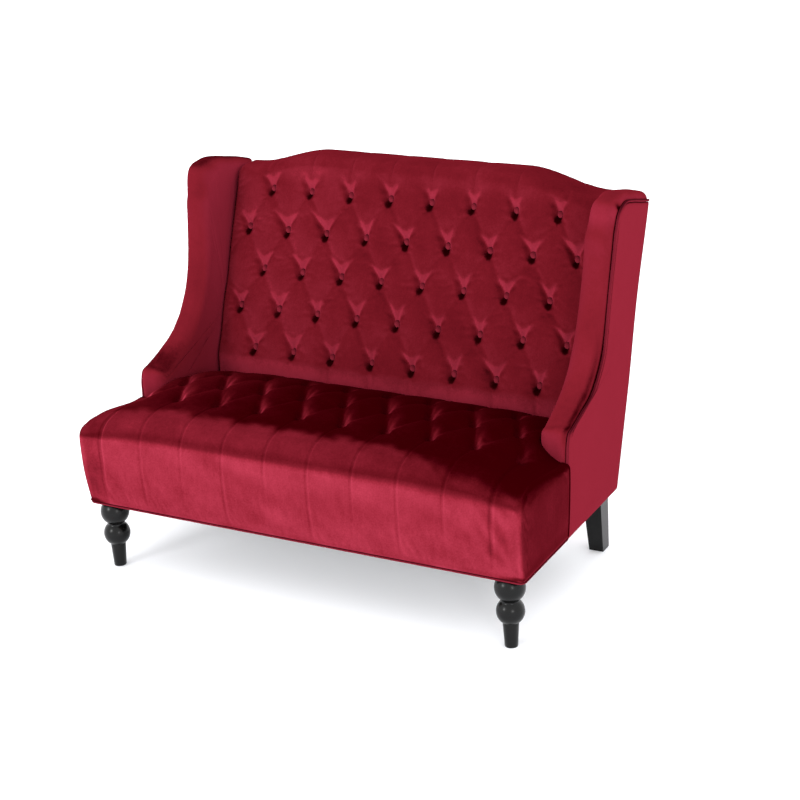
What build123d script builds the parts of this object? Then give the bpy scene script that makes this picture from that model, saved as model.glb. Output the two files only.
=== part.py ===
from build123d import *
import math
import os

# High back settee: a timber frame with webbing, a deep tufted seat and back,
# two padded wings, turned front legs and square rear legs.
# Millimetres, +Z up, the front faces -Y, the origin is on the floor under the
# middle of the overall box.

os.makedirs("parts", exist_ok=True)

# ---- overall sizes -------------------------------------------------------
WIDTH = 1276.35
DEPTH = 863.6
HEIGHT = 977.9
HALF_W = WIDTH / 2
FRONT_Y = -DEPTH / 2
REAR_Y = DEPTH / 2

# ---- rake of the back ----------------------------------------------------
# The buttons lie on one raked plane, y = PLANE_Y + SLOPE * z.
SLOPE = 0.363
PLANE_Y = -14.0
RAKE = math.atan(SLOPE)
PAD_DEPTH = 49.0          # foam behind the button plane, square to it
REAR_SLOPE = 0.287        # the outside back stands a little steeper
REAR_PLANE_Y = 151.0

# ---- camel back outline --------------------------------------------------
SHOULDER_Z = 931.0
SHOULDER_X = 535.0
LEVEL_X = 300.0
ROLL_DROP = 17.0          # the roll is widest this far under its crown
RAIL_DROP = 63.5          # top of the rail under the roll
WRAP_Y = REAR_Y - REAR_SLOPE * (HEIGHT - ROLL_DROP)

# ---- tufting -------------------------------------------------------------
PITCH = 123.8             # across a row, from one tuft to the next
HALF_PITCH = PITCH / 2
ROW_Z = [463.3, 569.3, 672.2, 778.4, 883.4]
POCKET = 8.0              # half the flat at the bottom of a tuft
BACK_PUFF = 24.0
BACK_CREASE = 8.0
BUTTON_R = 10.5
BUTTON_RIM = 3.5
BUTTON_TOP = 7.5

# ---- seat ----------------------------------------------------------------
BASE_Z = 190.0            # underside of the rails
RAIL_TOP = 337.0
DECK_Z = 340.5            # underside of the seat foam
CROWN_Z = 452.0
SEAT_HALF = 548.5         # half the seat between the wings
EAR_BACK = -141.5         # the seat runs out to full width in front of this
SEAT_ROWS = [-2.0, -125.0, -250.0]
SEAT_TUFT = 18.0
FACE_TOP_Z = 390.0
FACE_FOOT_Y = -406.0
SKIRT_IN_Y = -392.5
SIDE_FOOT_X = 621.0
SKIRT_IN_X = 608.5

# ---- wings ---------------------------------------------------------------
LEAN = 0.0127             # outward lean of each wing, per mm of height
PANEL_Z = 182.0
WING_IN = 550.0
WING_CORE_IN = 584.0
WING_CORE_OUT = 602.0
WING_PAD_OUT = 620.0
WING_OUT = 625.0
WELT_R = 3.5

# ---- frame ---------------------------------------------------------------
BOARD = 27.0
FRONT_RAIL_Y = -392.0
REAR_RAIL_Y = 60.0
SIDE_RAIL_X = 555.0
POST_IN = 505.0
POST_OUT = 545.0
POST_TOP = 825.0

# ---- legs ----------------------------------------------------------------
LEG_TOP = 186.0
FRONT_LEG = (577.0, -375.0)
REAR_LEG_TOP = (572.0, 176.0)
REAR_LEG_FOOT = (571.0, 206.0)
PLATE = 48.0
BOLT_R = 4.0
HOLE_R = 4.2


def back_point(z, height):
    """(y, z) of a point over the button plane, height square to it."""
    y = PLANE_Y + SLOPE * z - height * math.cos(RAKE)
    return (y, z + height * math.sin(RAKE))


def rear_y(z):
    """Outer face of the outside back at height z."""
    return REAR_PLANE_Y + REAR_SLOPE * z


def pad_back_y(z):
    """Rear face of the back foam at height z."""
    return PLANE_Y + SLOPE * z + PAD_DEPTH / math.cos(RAKE)


def top_z(x):
    """Camel back outline: low shoulders, an S curve, a level middle."""
    t = (SHOULDER_X - abs(x)) / (SHOULDER_X - LEVEL_X)
    t = min(max(t, 0.0), 1.0)
    return SHOULDER_Z + (HEIGHT - SHOULDER_Z) * (3 * t * t - 2 * t ** 3)


def level_arc(apex, end):
    """Mid point of the arc from apex to end that is level at the apex."""
    run, drop = end[0] - apex[0], apex[1] - end[1]
    radius = (run * run + drop * drop) / (2 * drop)
    half = math.atan2(abs(run), radius - drop) / 2
    side = math.copysign(radius * math.sin(half), run)
    return (apex[0] + side, apex[1] - radius * (1 - math.cos(half)))


def columns(half):
    """Cuts across X: one at each end and four to each tuft spacing."""
    step = HALF_PITCH / 2
    count = int(half / step)
    return [-half] + [k * step for k in range(-count, count + 1)] + [half]


def tuft_phase(x):
    """0 on the columns of the middle rows, 1 on the columns between them."""
    p = x / HALF_PITCH
    return abs(p - 2 * round(p / 2))


def valley(phase, deep, shallow):
    """Deep at a tuft (phase 0 or 1), shallow half way along a crease."""
    return shallow + (deep - shallow) * (2 * phase - 1) ** 2


def section(x, corners, middles, lean=0.0, foot_z=0.0):
    """Closed face across X. A corner is (y, z); middles maps an index to the
    mid point of the arc that starts at that corner."""
    def place(p):
        return (x + lean * (p[1] - foot_z), p[0], p[1])
    edges = []
    for i, a in enumerate(corners):
        b = corners[(i + 1) % len(corners)]
        if i in middles:
            edges.append(Edge.make_three_point_arc(place(a), place(middles[i]), place(b)))
        else:
            edges.append(Edge.make_line(place(a), place(b)))
    return Face(Wire(edges))


def box(x0, x1, y0, y1, z0, z1):
    size = Box(x1 - x0, y1 - y0, z1 - z0)
    return Pos((x0 + x1) / 2, (y0 + y1) / 2, (z0 + z1) / 2) * size


def mirrored(shape):
    return mirror(shape, about=Plane.YZ)


def group(shapes):
    return Compound(children=[s.solid() for s in shapes])


def both_sides(x0, x1, y0, y1, z0, z1):
    right = box(x0, x1, y0, y1, z0, z1)
    return box(-x1, -x0, y0, y1, z0, z1), right


def save(name, shape):
    export_step(shape, f"parts/{name}.step")


# ---- seat pad ------------------------------------------------------------
def seat_top(x, y):
    """Crown of the seat over its foam, without the tufts."""
    z = CROWN_Z - 72.0 * (abs(x) / HALF_W) ** 6
    if y > SEAT_ROWS[1]:
        z -= 50.0 * ((y - SEAT_ROWS[1]) / 230.0) ** 2
    return z


def front_row_y(x):
    return SEAT_ROWS[2] - 40.0 * (abs(x) / (4.5 * PITCH)) ** 8


def seat_front(x, inset):
    """Corners and arcs from the front roll down the face to its foot."""
    phase = tuft_phase(x)
    nip = 3.0 * phase
    brow = (-352.0, seat_top(x, -352.0) - 5.0 * phase - inset)
    face = (FRONT_Y + 2.1 + nip + inset, FACE_TOP_Z)
    foot = (FACE_FOOT_Y + inset, BASE_Z)
    roll = (brow[0] + (face[0] - brow[0]) * 0.72, face[1] + (brow[1] - face[1]) * 0.72)
    belly = (FRONT_Y + 2.1 + 0.7 * nip + inset, 300.0)
    return [brow, face, foot], [roll, belly]


def seat_section(x):
    """The seat between the wings, cut across X."""
    phase = tuft_phase(x)
    rear_top = seat_top(x, 105.0)
    back_gap = 20.5
    rear = (PLANE_Y + SLOPE * rear_top - back_gap, rear_top)
    rear_foot = (PLANE_Y + SLOPE * DECK_Z - back_gap, DECK_Z)
    y1 = SEAT_ROWS[1] + (SEAT_ROWS[0] - SEAT_ROWS[1]) * phase + POCKET * (1 - phase)
    y2 = SEAT_ROWS[1] + (front_row_y(x) - SEAT_ROWS[1]) * phase - POCKET * (1 - phase)
    sink = valley(phase, SEAT_TUFT, 8.0)
    c1 = (y1, seat_top(x, y1) - sink)
    c2 = (y2, seat_top(x, y2) - sink)
    front, arcs = seat_front(x, 0.0)
    share = (y1 - y2) / (SEAT_ROWS[0] - SEAT_ROWS[2])
    mid_rear = (rear[0] + y1) / 2
    mid_puff = (y1 + y2) / 2
    mid_front = (y2 + front[0][0]) / 2
    corners = [rear, c1, c2] + front
    corners += [(SKIRT_IN_Y, BASE_Z), (SKIRT_IN_Y, DECK_Z), rear_foot]
    middles = {
        0: (mid_rear, seat_top(x, mid_rear) + 3.0 - 9.0 * phase),
        1: (mid_puff, seat_top(x, mid_puff) - SEAT_TUFT * (1 - share) ** 2),
        2: (mid_front, seat_top(x, mid_front) + 1.0 - 8.0 * phase),
        3: arcs[0],
        4: arcs[1],
    }
    return section(x, corners, middles)


def ear_section(x, tuft, inset, full, lean=0.0):
    """The end of the seat in front of a wing, cut across X."""
    y2 = front_row_y(4.5 * PITCH)
    rear = (EAR_BACK, seat_top(x, EAR_BACK) - 3.0 - inset)
    c2 = (y2, seat_top(x, y2) - tuft - inset)
    front, arcs = seat_front(x, inset)
    mid_rear = (EAR_BACK + y2) / 2
    mid_front = (y2 + front[0][0]) / 2
    corners = [rear, c2] + front
    if full:
        corners += [(EAR_BACK, BASE_Z)]
    else:
        corners += [(SKIRT_IN_Y, BASE_Z), (SKIRT_IN_Y, DECK_Z), (EAR_BACK, DECK_Z)]
    middles = {
        0: (mid_rear, seat_top(x, mid_rear) - inset),
        1: (mid_front, seat_top(x, mid_front) - 0.3 * tuft - inset),
        2: arcs[0],
        3: arcs[1],
    }
    return section(x, corners, middles, lean, FACE_TOP_Z)


def make_seat_pad():
    pad = loft([seat_section(x) for x in columns(SEAT_HALF)], ruled=True)
    side_lean = (HALF_W - SIDE_FOOT_X) / (FACE_TOP_Z - BASE_Z)
    over_frame = [
        ear_section(SEAT_HALF, 10.0, 0.6, False),
        ear_section(4.5 * PITCH, SEAT_TUFT, 0.0, False),
        ear_section(585.0, 8.0, 0.0, False),
        ear_section(SKIRT_IN_X, 2.0, 0.0, False),
    ]
    skirt = [
        ear_section(SKIRT_IN_X, 2.0, 0.0, True),
        ear_section(627.0, 1.0, 2.0, True, 0.6 * side_lean),
        ear_section(634.5, 0.0, 8.0, True, side_lean),
        ear_section(HALF_W, 0.0, 19.0, True, side_lean),
    ]
    ear = loft(over_frame, ruled=True) + loft(skirt, ruled=True)
    return pad + ear + mirrored(ear)


# ---- back pad ------------------------------------------------------------
def back_section(x, lean=0.0):
    """The tufted back with its roll over the top rail, cut across X."""
    phase = tuft_phase(x)
    low, four, mid, two, high = ROW_Z
    z1 = four + (low - four) * phase - POCKET * (1 - phase)
    z2 = four + (mid - four) * phase + POCKET * (1 - 2 * phase)
    z3 = two + (mid - two) * phase - POCKET * (1 - 2 * phase)
    z4 = two + (high - two) * phase + POCKET * (1 - phase)
    crease = BACK_CREASE - valley(phase, BACK_CREASE, 0.0)
    crest = top_z(x)
    pleat = 7.0 * phase
    points = [back_point(z, crease) for z in (z1, z2, z3, z4)]
    foot = back_point(DECK_Z + 2.0, 15.0 - 0.5 * pleat)
    brow = back_point(crest - 46.0, 15.0 - 0.6 * pleat)
    rear_top = (WRAP_Y + REAR_SLOPE * (crest - ROLL_DROP), crest - ROLL_DROP)
    crown = (rear_top[0] - 36.0, crest)
    hem_z = crest - RAIL_DROP + 1.5
    rear_foot = (WRAP_Y + REAR_SLOPE * hem_z, hem_z)
    under = (pad_back_y(hem_z), hem_z)
    low_back = back_point(DECK_Z + 2.0, -PAD_DEPTH)
    corners = [foot] + points + [brow, crown, rear_top, rear_foot, under, low_back]

    def puff(za, zb, rise):
        span = abs(zb - za) / (mid - low)
        height = crease + (rise - crease) * min(span, 1.0) ** 0.8
        return back_point((za + zb) / 2, height)

    middles = {
        0: back_point((DECK_Z + z1) / 2, 18.0 - 0.6 * pleat),
        1: puff(z1, z2, BACK_PUFF),
        2: puff(z2, z3, BACK_PUFF),
        3: puff(z3, z4, BACK_PUFF),
        4: back_point((z4 + crest - 46.0) / 2, 21.0 - 0.9 * pleat),
        5: level_arc(crown, brow),
        6: level_arc(crown, rear_top),
    }
    return section(x, corners, middles, lean, PANEL_Z)


def button_places():
    """(x, z) of each button: eight and nine to a row by turns."""
    places = []
    for row, z in enumerate(ROW_Z):
        count = 9 if row % 2 else 8
        for i in range(count):
            places.append(((i - (count - 1) / 2) * PITCH, z))
    return places


def on_back(x, z, shape):
    """Set a shape, made about +Z, on the button plane facing forward."""
    y, z = back_point(z, 0.0)
    return Pos(x, y, z) * Rot(90 - math.degrees(RAKE), 0, 0) * shape


def make_back_pad():
    cuts = columns(SEAT_HALF)
    leans = [-LEAN] + [0.0] * (len(cuts) - 2) + [LEAN]
    pad = loft([back_section(x, lean) for x, lean in zip(cuts, leans)], ruled=True)
    well = Pos(0, 0, 20) * Cylinder(BUTTON_R + 1.0, 42.0)
    wells = [on_back(x, z, well) for x, z in button_places()]
    return pad - wells


def make_button():
    """Fabric covered button: a short barrel with a domed face."""
    side = Polyline((0, 0.5), (BUTTON_R, 0.5), (BUTTON_R, BUTTON_RIM))
    middle = level_arc((0, BUTTON_TOP), (BUTTON_R, BUTTON_RIM))
    dome = ThreePointArc((BUTTON_R, BUTTON_RIM), middle, (0, BUTTON_TOP))
    profile = make_face(side + dome + Line((0, BUTTON_TOP), (0, 0.5)))
    return revolve(Plane.XZ * profile, Axis.Z)


# ---- wings ---------------------------------------------------------------
# Side views, (y, z), from the foot of the front edge over the arm, up the
# swept front, round the top corner and back along the top. The seam runs
# round the outer panel; the crown is the middle of the padded front band.
SEAM_LINE = [
    (-137.0, PANEL_Z), (-136.0, 400.0), (-129.0, 444.0), (-100.0, 465.0),
    (-39.0, 490.0), (27.0, 530.0), (70.0, 580.0), (106.0, 640.0),
    (128.0, 700.0), (146.0, 760.0), (158.0, 820.0), (170.0, 875.0),
    (190.0, 916.0), (225.0, 940.0), (270.0, 948.0), (340.0, 931.0),
    (rear_y(912.0), 912.0),
]
CROWN_LINE = [
    (-137.0, PANEL_Z), (-141.0, 405.0), (-147.0, 462.0), (-120.0, 489.0),
    (-58.0, 514.0), (8.0, 551.0), (48.0, 588.0), (86.0, 648.0),
    (112.0, 705.0), (128.0, 765.0), (134.0, 825.0), (132.0, 895.0),
    (134.0, 945.0), (152.0, 972.0), (200.0, 976.0), (310.0, 956.0),
    (rear_y(934.0), 934.0),
]


def moved(line, grow, kept=0):
    """A side view moved out square to itself, but for the first points."""
    out = []
    last = len(line) - 1
    for i, (y, z) in enumerate(line):
        ya, za = line[max(i - 1, 0)]
        yb, zb = line[min(i + 1, last)]
        length = math.hypot(yb - ya, zb - za)
        step = 0.0 if i < kept else grow
        out.append((y - step * (zb - za) / length, z + step * (yb - ya) / length))
    return out


def closed(line, rear, foot):
    """Close a side view along the rear edge, moved in by rear, and the foot."""
    out = [(line[0][0], foot)] + line[1:-1]
    out.append((rear_y(line[-1][1]) - rear, line[-1][1]))
    return out + [(rear_y(foot) - rear, foot)]


def seam_outline(grow, rear=0.0, foot=PANEL_Z):
    return closed(moved(SEAM_LINE, grow), rear, foot)


def band_outline(inset, toward_seam):
    """Between the crown of the band, moved in by inset, and the seam."""
    crown = moved(CROWN_LINE, -inset, 2 if inset < 15.0 else 0)
    line = []
    for (ya, za), (yb, zb) in zip(crown, SEAM_LINE):
        line.append((ya + (yb - ya) * toward_seam, za + (zb - za) * toward_seam))
    return closed(line, 13.0, PANEL_Z)


def wing_slab(stations):
    """Ruled solid through outlines at (x, outline), leaning outward."""
    faces = [section(x, outline, {}, LEAN, PANEL_Z) for x, outline in stations]
    return loft(faces, ruled=True)


def make_wing_pad():
    """Inner padding of a wing and the rounded band over its front and top."""
    body = wing_slab([
        (WING_IN, band_outline(24.0, 0.0)),
        (WING_IN + 4.0, band_outline(12.0, 0.0)),
        (WING_IN + 13.0, band_outline(3.0, 0.0)),
        (WING_IN + 32.0, band_outline(0.0, 0.0)),
        (WING_IN + 54.0, band_outline(2.0, 0.3)),
        (WING_PAD_OUT, band_outline(0.0, 0.9)),
    ])
    pocket = wing_slab([
        (WING_CORE_IN - 0.5, seam_outline(-19.0, -30.0, 150.0)),
        (WING_OUT + 5.0, seam_outline(-19.0, -30.0, 150.0)),
    ])
    foot = box(500, 700, -250, 400, 100, DECK_Z + 8.0)
    return body - pocket - foot


def make_wing_core():
    outline = seam_outline(-20.0, 13.0, BASE_Z)
    return wing_slab([(WING_CORE_IN, outline), (WING_CORE_OUT, outline)])


def make_outer_panel():
    """Padded outer face of a wing: it fills the pocket behind the band and
    stands out past it inside the seam."""
    return wing_slab([
        (WING_CORE_OUT + 0.5, seam_outline(-20.0, 0.5, BASE_Z)),
        (WING_PAD_OUT + 0.5, seam_outline(-20.0, 0.5, BASE_Z)),
    ]) + wing_slab([
        (WING_PAD_OUT + 0.5, seam_outline(-4.5, 0.5)),
        (WING_OUT - 1.0, seam_outline(-4.5, 0.5)),
        (WING_OUT + 2.0, seam_outline(-22.0, 12.0, PANEL_Z + 12.0)),
    ])


def make_wing_welt():
    """Piping in the seam between the band and the outer panel."""
    x = WING_OUT - 1.0
    foot = PANEL_Z + 4.0
    line = [(SEAM_LINE[0][0], foot)] + SEAM_LINE[1:-1] + [(rear_y(912.0) - 4.0, 912.0)]
    points = [(x + LEAN * (z - PANEL_Z), y, z) for y, z in line]
    path = FilletPolyline(*points, radius=9.0)
    start = Plane(origin=path @ 0, z_dir=path % 0)
    return sweep(start * Circle(WELT_R), path=path)


# ---- legs ----------------------------------------------------------------
def make_front_leg():
    """Turned leg: two balls over a tapered foot, with a bolt hole on top."""
    low_r, low_z = 35.3, 94.0
    top_r, top_zc = 38.4, 157.0
    neck = 22.0
    foot_r, ankle_r = 16.7, 20.2

    def chord(radius, at):
        return math.sqrt(radius ** 2 - at ** 2)
    a = low_z - chord(low_r, ankle_r)
    b = low_z + chord(low_r, neck)
    c = top_zc - chord(top_r, neck)
    lid_r = chord(top_r, LEG_TOP - top_zc)
    lines = Polyline((0, 0), (foot_r - 2, 0), (foot_r, 2), (ankle_r, a))
    lines += ThreePointArc((ankle_r, a), (low_r, low_z), (neck, b))
    lines += Line((neck, b), (neck, c))
    lines += ThreePointArc((neck, c), (top_r, top_zc), (lid_r, LEG_TOP))
    lines += Polyline((lid_r, LEG_TOP), (0, LEG_TOP), (0, 0))
    turned = revolve(Plane.XZ * make_face(lines), Axis.Z)
    hole = Pos(0, 0, LEG_TOP - 20.0) * Cylinder(HOLE_R, 50.0)
    return Pos(*FRONT_LEG, 0) * (turned - hole)


def make_rear_leg():
    """Square leg, tapered to the floor and raked to the rear."""
    top = Pos(*REAR_LEG_TOP, LEG_TOP) * Rectangle(52.0, 54.0)
    foot = Pos(*REAR_LEG_FOOT, 0) * Rectangle(40.0, 41.0)
    leg = loft([foot.face(), top.face()], ruled=True)
    hole = Pos(*REAR_LEG_TOP, LEG_TOP - 20.0) * Cylinder(HOLE_R, 50.0)
    return leg - hole


def leg_places():
    for side in (-1, 1):
        for x, y in (FRONT_LEG, REAR_LEG_TOP):
            yield side * x, y


# ---- frame ---------------------------------------------------------------
BOLT_SPOTS = [(y, z) for y in (-90.0, 150.0) for z in (225.0, 300.0)]


def leg_bolt(x, y):
    return Pos(x, y, LEG_TOP + 8.0) * Cylinder(BOLT_R, 84.0)


def wing_holes(radius):
    """Cylinders along X through the right side rail and wing board."""
    return [Pos(590, y, z) * Rot(0, 90, 0) * Cylinder(radius, 90.0) for y, z in BOLT_SPOTS]


def make_wing_bolt(y, z):
    head = Pos(SIDE_RAIL_X - 4.6, y, z) * Rot(0, 90, 0) * Cylinder(7.5, 5.0)
    shank = Pos(SIDE_RAIL_X + 20.4, y, z) * Rot(0, 90, 0) * Cylinder(BOLT_R, 45.0)
    return head + shank


def make_washer(y, z):
    ring = Cylinder(11.0, 1.8) - Cylinder(HOLE_R, 4.0)
    return Pos(SIDE_RAIL_X - 1.1, y, z) * Rot(0, 90, 0) * ring


def make_block(x, y, dy):
    """Triangular brace in a corner of the seat frame."""
    leg = 70.0
    corner = Polyline((x, y), (x - leg, y), (x, y + dy * leg), close=True)
    return Pos(0, 0, 205.0) * extrude(make_face(corner), amount=60.0)


def make_top_rail():
    """Rail under the roll of the back, with the same camel back outline."""
    low = POST_TOP + 1.0
    sections = []
    for x in columns(SEAT_HALF):
        top = top_z(x) - RAIL_DROP
        corners = [
            (pad_back_y(low) + 0.5, low), (pad_back_y(top) + 0.5, top),
            (rear_y(top) - 12.5, top), (rear_y(low) - 12.5, low),
        ]
        sections.append(section(x, corners, {}))
    return loft(sections, ruled=True)


def make_post():
    low = BASE_Z + 2.0
    corners = [
        (pad_back_y(low) + 0.5, low), (pad_back_y(POST_TOP) + 0.5, POST_TOP),
        (rear_y(POST_TOP) - 12.5, POST_TOP), (rear_y(low) - 12.5, low),
    ]
    faces = [section(x, corners, {}) for x in (POST_IN, POST_OUT)]
    return loft(faces, ruled=True)


def make_outside_back():
    """Fabric covered board over the rear of the back frame and the wings."""
    def cut(x, top, lean=0.0):
        corners = [
            (rear_y(BASE_Z), BASE_Z), (rear_y(top), top),
            (rear_y(top) - 12.0, top), (rear_y(BASE_Z) - 12.0, BASE_Z),
        ]
        return section(x, corners, {}, lean, PANEL_Z)
    wing_top = 905.0
    step_x = SEAT_HALF + 11.0
    shoulder = SHOULDER_Z - RAIL_DROP - 1.0
    sections = [cut(-WING_CORE_OUT, wing_top, -LEAN), cut(-step_x - 3.0, wing_top)]
    sections.append(cut(-step_x, shoulder))
    sections += [cut(x, top_z(x) - RAIL_DROP - 1.0) for x in columns(SEAT_HALF)]
    sections.append(cut(step_x, shoulder))
    sections += [cut(step_x + 3.0, wing_top), cut(WING_CORE_OUT, wing_top, LEAN)]
    return loft(sections, ruled=True)


def make_back_straps():
    """Upright elastic straps behind the back foam."""
    low, high = 420.0, POST_TOP
    straps = []
    for i in range(7):
        x = (i - 3) * 140.0
        corners = [
            (pad_back_y(low) + 0.5, low), (pad_back_y(high) + 0.5, high),
            (pad_back_y(high) + 2.5, high), (pad_back_y(low) + 2.5, low),
        ]
        faces = [section(x - 30.0, corners, {}), section(x + 30.0, corners, {})]
        straps.append(loft(faces, ruled=True))
    return straps


def make_back_lower_rail():
    low, high = 345.0, 419.0
    corners = [
        (pad_back_y(low) + 0.5, low), (pad_back_y(high) + 0.5, high),
        (pad_back_y(high) + BOARD, high), (pad_back_y(low) + BOARD, low),
    ]
    faces = [section(x, corners, {}) for x in (-POST_IN + 0.5, POST_IN - 0.5)]
    return loft(faces, ruled=True)


def make_seat_welt():
    """Piping round the foot of the seat cover, front and both ends."""
    x, y, z = SIDE_FOOT_X - 2.0, FACE_FOOT_Y + 2.0, BASE_Z - 3.2
    path = FilletPolyline((-x, EAR_BACK, z), (-x, y, z), (x, y, z), (x, EAR_BACK, z), radius=14.0)
    start = Plane(origin=path @ 0, z_dir=path % 0)
    return sweep(start * Circle(3.0), path=path)


# ---- build and save ------------------------------------------------------
rail_back = FRONT_RAIL_Y + BOARD
leg_holes = [Pos(x, y, LEG_TOP + 30.0) * Cylinder(HOLE_R, 130.0) for x, y in leg_places()]

front_rail = box(-607.5, 607.5, FRONT_RAIL_Y, rail_back, BASE_Z, RAIL_TOP) - leg_holes
save("seat_front_rail", front_rail)
rear_rail = box(-SIDE_RAIL_X, SIDE_RAIL_X, REAR_RAIL_Y, REAR_RAIL_Y + BOARD, BASE_Z, RAIL_TOP)
save("seat_rear_rail", rear_rail)
save("seat_centre_rail", box(-20, 20, rail_back, REAR_RAIL_Y, BASE_Z, BASE_Z + 70.0))

right_rail = box(SIDE_RAIL_X, 583.0, rail_back, 188.0, BASE_Z, RAIL_TOP)
right_rail = right_rail - leg_holes - wing_holes(HOLE_R)
save("seat_right_rail", right_rail)
save("seat_left_rail", mirrored(right_rail))
left_return, right_return = both_sides(583.5, 607.5, rail_back, EAR_BACK, BASE_Z, RAIL_TOP)
save("seat_left_return", left_return)
save("seat_right_return", right_return)

blocks = [make_block(SIDE_RAIL_X, rail_back, 1), make_block(SIDE_RAIL_X, REAR_RAIL_Y, -1)]
save("corner_blocks", group(blocks + [mirrored(b) for b in blocks]))

deck_back = REAR_RAIL_Y + 20.0
straps = [box(x - 30, x + 30, FRONT_RAIL_Y + 4, deck_back, RAIL_TOP + 0.1, RAIL_TOP + 1.6)
          for x in [(i - 3) * 150.0 for i in range(7)]]
save("seat_webbing", group(straps))
cross = [box(-SIDE_RAIL_X - 24, SIDE_RAIL_X + 24, y - 30, y + 30, RAIL_TOP + 1.7, RAIL_TOP + 2.7)
         for y in (-270.0, -155.0, -40.0)]
save("seat_cross_webbing", group(cross))
save("seat_deck_cloth", box(-544, 544, SKIRT_IN_Y + 2, 78, RAIL_TOP + 2.8, DECK_Z - 0.1))
save("dust_cover", box(-604, 604, FRONT_RAIL_Y + 4, 186, BASE_Z - 1.2, BASE_Z - 0.1)
     - [Pos(x, y, BASE_Z) * Box(PLATE + 4, PLATE + 4, 10) for x, y in leg_places()])

save("seat_pad", make_seat_pad())
save("seat_bottom_welt", make_seat_welt())

post = make_post()
save("back_right_post", post)
save("back_left_post", mirrored(post))
save("back_top_rail", make_top_rail())
save("back_lower_rail", make_back_lower_rail())
save("back_webbing", group(make_back_straps()))
save("outside_back", make_outside_back())
save("back_pad", make_back_pad())
button = make_button()
save("back_buttons", group([on_back(x, z, button) for x, z in button_places()]))

wing_parts = {
    "wing_frame": make_wing_core() - wing_holes(HOLE_R),
    "wing_pad": make_wing_pad(),
    "outer_panel": make_outer_panel(),
    "wing_welt": make_wing_welt(),
}
for name, shape in wing_parts.items():
    save(f"right_{name}", shape)
    save(f"left_{name}", mirrored(shape))

bolts = [make_wing_bolt(y, z) for y, z in BOLT_SPOTS]
washers = [make_washer(y, z) for y, z in BOLT_SPOTS]
save("wing_bolts", group(bolts + [mirrored(b) for b in bolts]))
save("wing_bolt_washers", group(washers + [mirrored(w) for w in washers]))

plate = Box(PLATE, PLATE, 3.8) - Cylinder(HOLE_R, 10.0)
plates = [Pos(x, y, (LEG_TOP + BASE_Z) / 2) * plate for x, y in leg_places()]
save("leg_plates", group(plates))
save("leg_bolts", group([leg_bolt(x, y) for x, y in leg_places()]))

front_leg = make_front_leg()
rear_leg = make_rear_leg()
save("front_right_leg", front_leg)
save("front_left_leg", mirrored(front_leg))
save("rear_right_leg", rear_leg)
save("rear_left_leg", mirrored(rear_leg))
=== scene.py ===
import math
import bpy
import numpy as np
from mathutils import Matrix, Vector


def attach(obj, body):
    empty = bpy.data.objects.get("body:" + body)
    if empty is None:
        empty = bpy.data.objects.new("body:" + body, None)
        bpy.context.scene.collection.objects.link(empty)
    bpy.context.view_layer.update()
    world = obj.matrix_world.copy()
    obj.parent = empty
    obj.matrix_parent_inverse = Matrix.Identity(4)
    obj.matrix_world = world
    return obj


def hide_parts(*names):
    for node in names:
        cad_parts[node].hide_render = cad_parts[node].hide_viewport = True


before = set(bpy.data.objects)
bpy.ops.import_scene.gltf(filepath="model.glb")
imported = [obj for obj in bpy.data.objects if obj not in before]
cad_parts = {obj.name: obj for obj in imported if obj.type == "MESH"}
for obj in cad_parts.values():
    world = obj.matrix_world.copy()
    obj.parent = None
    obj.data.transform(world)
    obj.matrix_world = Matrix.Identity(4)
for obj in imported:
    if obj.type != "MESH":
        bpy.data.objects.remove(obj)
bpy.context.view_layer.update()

# ---- softwood frame -------------------------------------------------------
# Rails, posts, blocks and wing boards of sawn pine, glued and stapled. They
# are the CAD solids as they stand, inside the covers, with bare timber on them.


def linear(hexcode):
    """An sRGB hex colour as the linear values that a shader takes."""
    out = []
    for i in (0, 2, 4):
        c = int(hexcode[i:i + 2], 16) / 255
        out.append(c / 12.92 if c <= 0.04045 else ((c + 0.055) / 1.055) ** 2.4)
    return (*out, 1.0)


def add_node(material, kind, settings=None, links=None):
    """Adds a shader node, sets its options and sockets and links its inputs."""
    made = material.node_tree.nodes.new("ShaderNode" + kind)
    for key, value in (settings or {}).items():
        if isinstance(key, int) or key in made.inputs:
            made.inputs[key].default_value = value
        else:
            setattr(made, key, value)
    for key, source in (links or {}).items():
        socket = source if isinstance(source, bpy.types.NodeSocket) else source.outputs[0]
        material.node_tree.links.new(socket, made.inputs[key])
    return made


def new_material(name):
    material = bpy.data.materials.new(name)
    material.use_nodes = True
    return material, material.node_tree.nodes["Principled BSDF"]


def wire(material, shader, sources):
    """Links outputs of other nodes to inputs of the shader."""
    for key, source in sources.items():
        material.node_tree.links.new(source, shader.inputs[key])


def ramp_stops(node, stops):
    """Colour stops of a ramp, as (place, hex colour)."""
    ramp = node.color_ramp
    while len(ramp.elements) < len(stops):
        ramp.elements.new(0.5)
    for element, (place, colour) in zip(ramp.elements, stops):
        element.position = place
        element.color = linear(colour)


def sawn_pine(along):
    """Sawn pine: pale yellow, with growth rings about 8 mm wide, drawn out to 160 mm
    along the board."""
    material, shader = new_material("Sawn pine along " + "XYZ"[along])
    place = add_node(material, "TexCoord").outputs["Object"]
    scale = [120.0, 120.0, 120.0]
    scale[along] = 6.0
    stretch = add_node(material, "Mapping", {"Scale": scale}, {"Vector": place})
    grain = add_node(material, "TexNoise", {"Scale": 1.0, "Detail": 5.0, "Distortion": 0.4},
                     {"Vector": stretch}).outputs["Fac"]
    tone = add_node(material, "ValToRGB", {}, {"Fac": grain})
    ramp_stops(tone, [(0.3, "b58a55"), (0.5, "d3b07c"), (0.72, "dfc394")])
    bump = add_node(material, "Bump", {"Strength": 0.35, "Distance": 0.0006}, {"Height": grain})
    wire(material, shader, {"Base Color": tone.outputs["Color"], "Normal": bump.outputs["Normal"]})
    shader.inputs["Roughness"].default_value = 0.72
    return material


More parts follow.
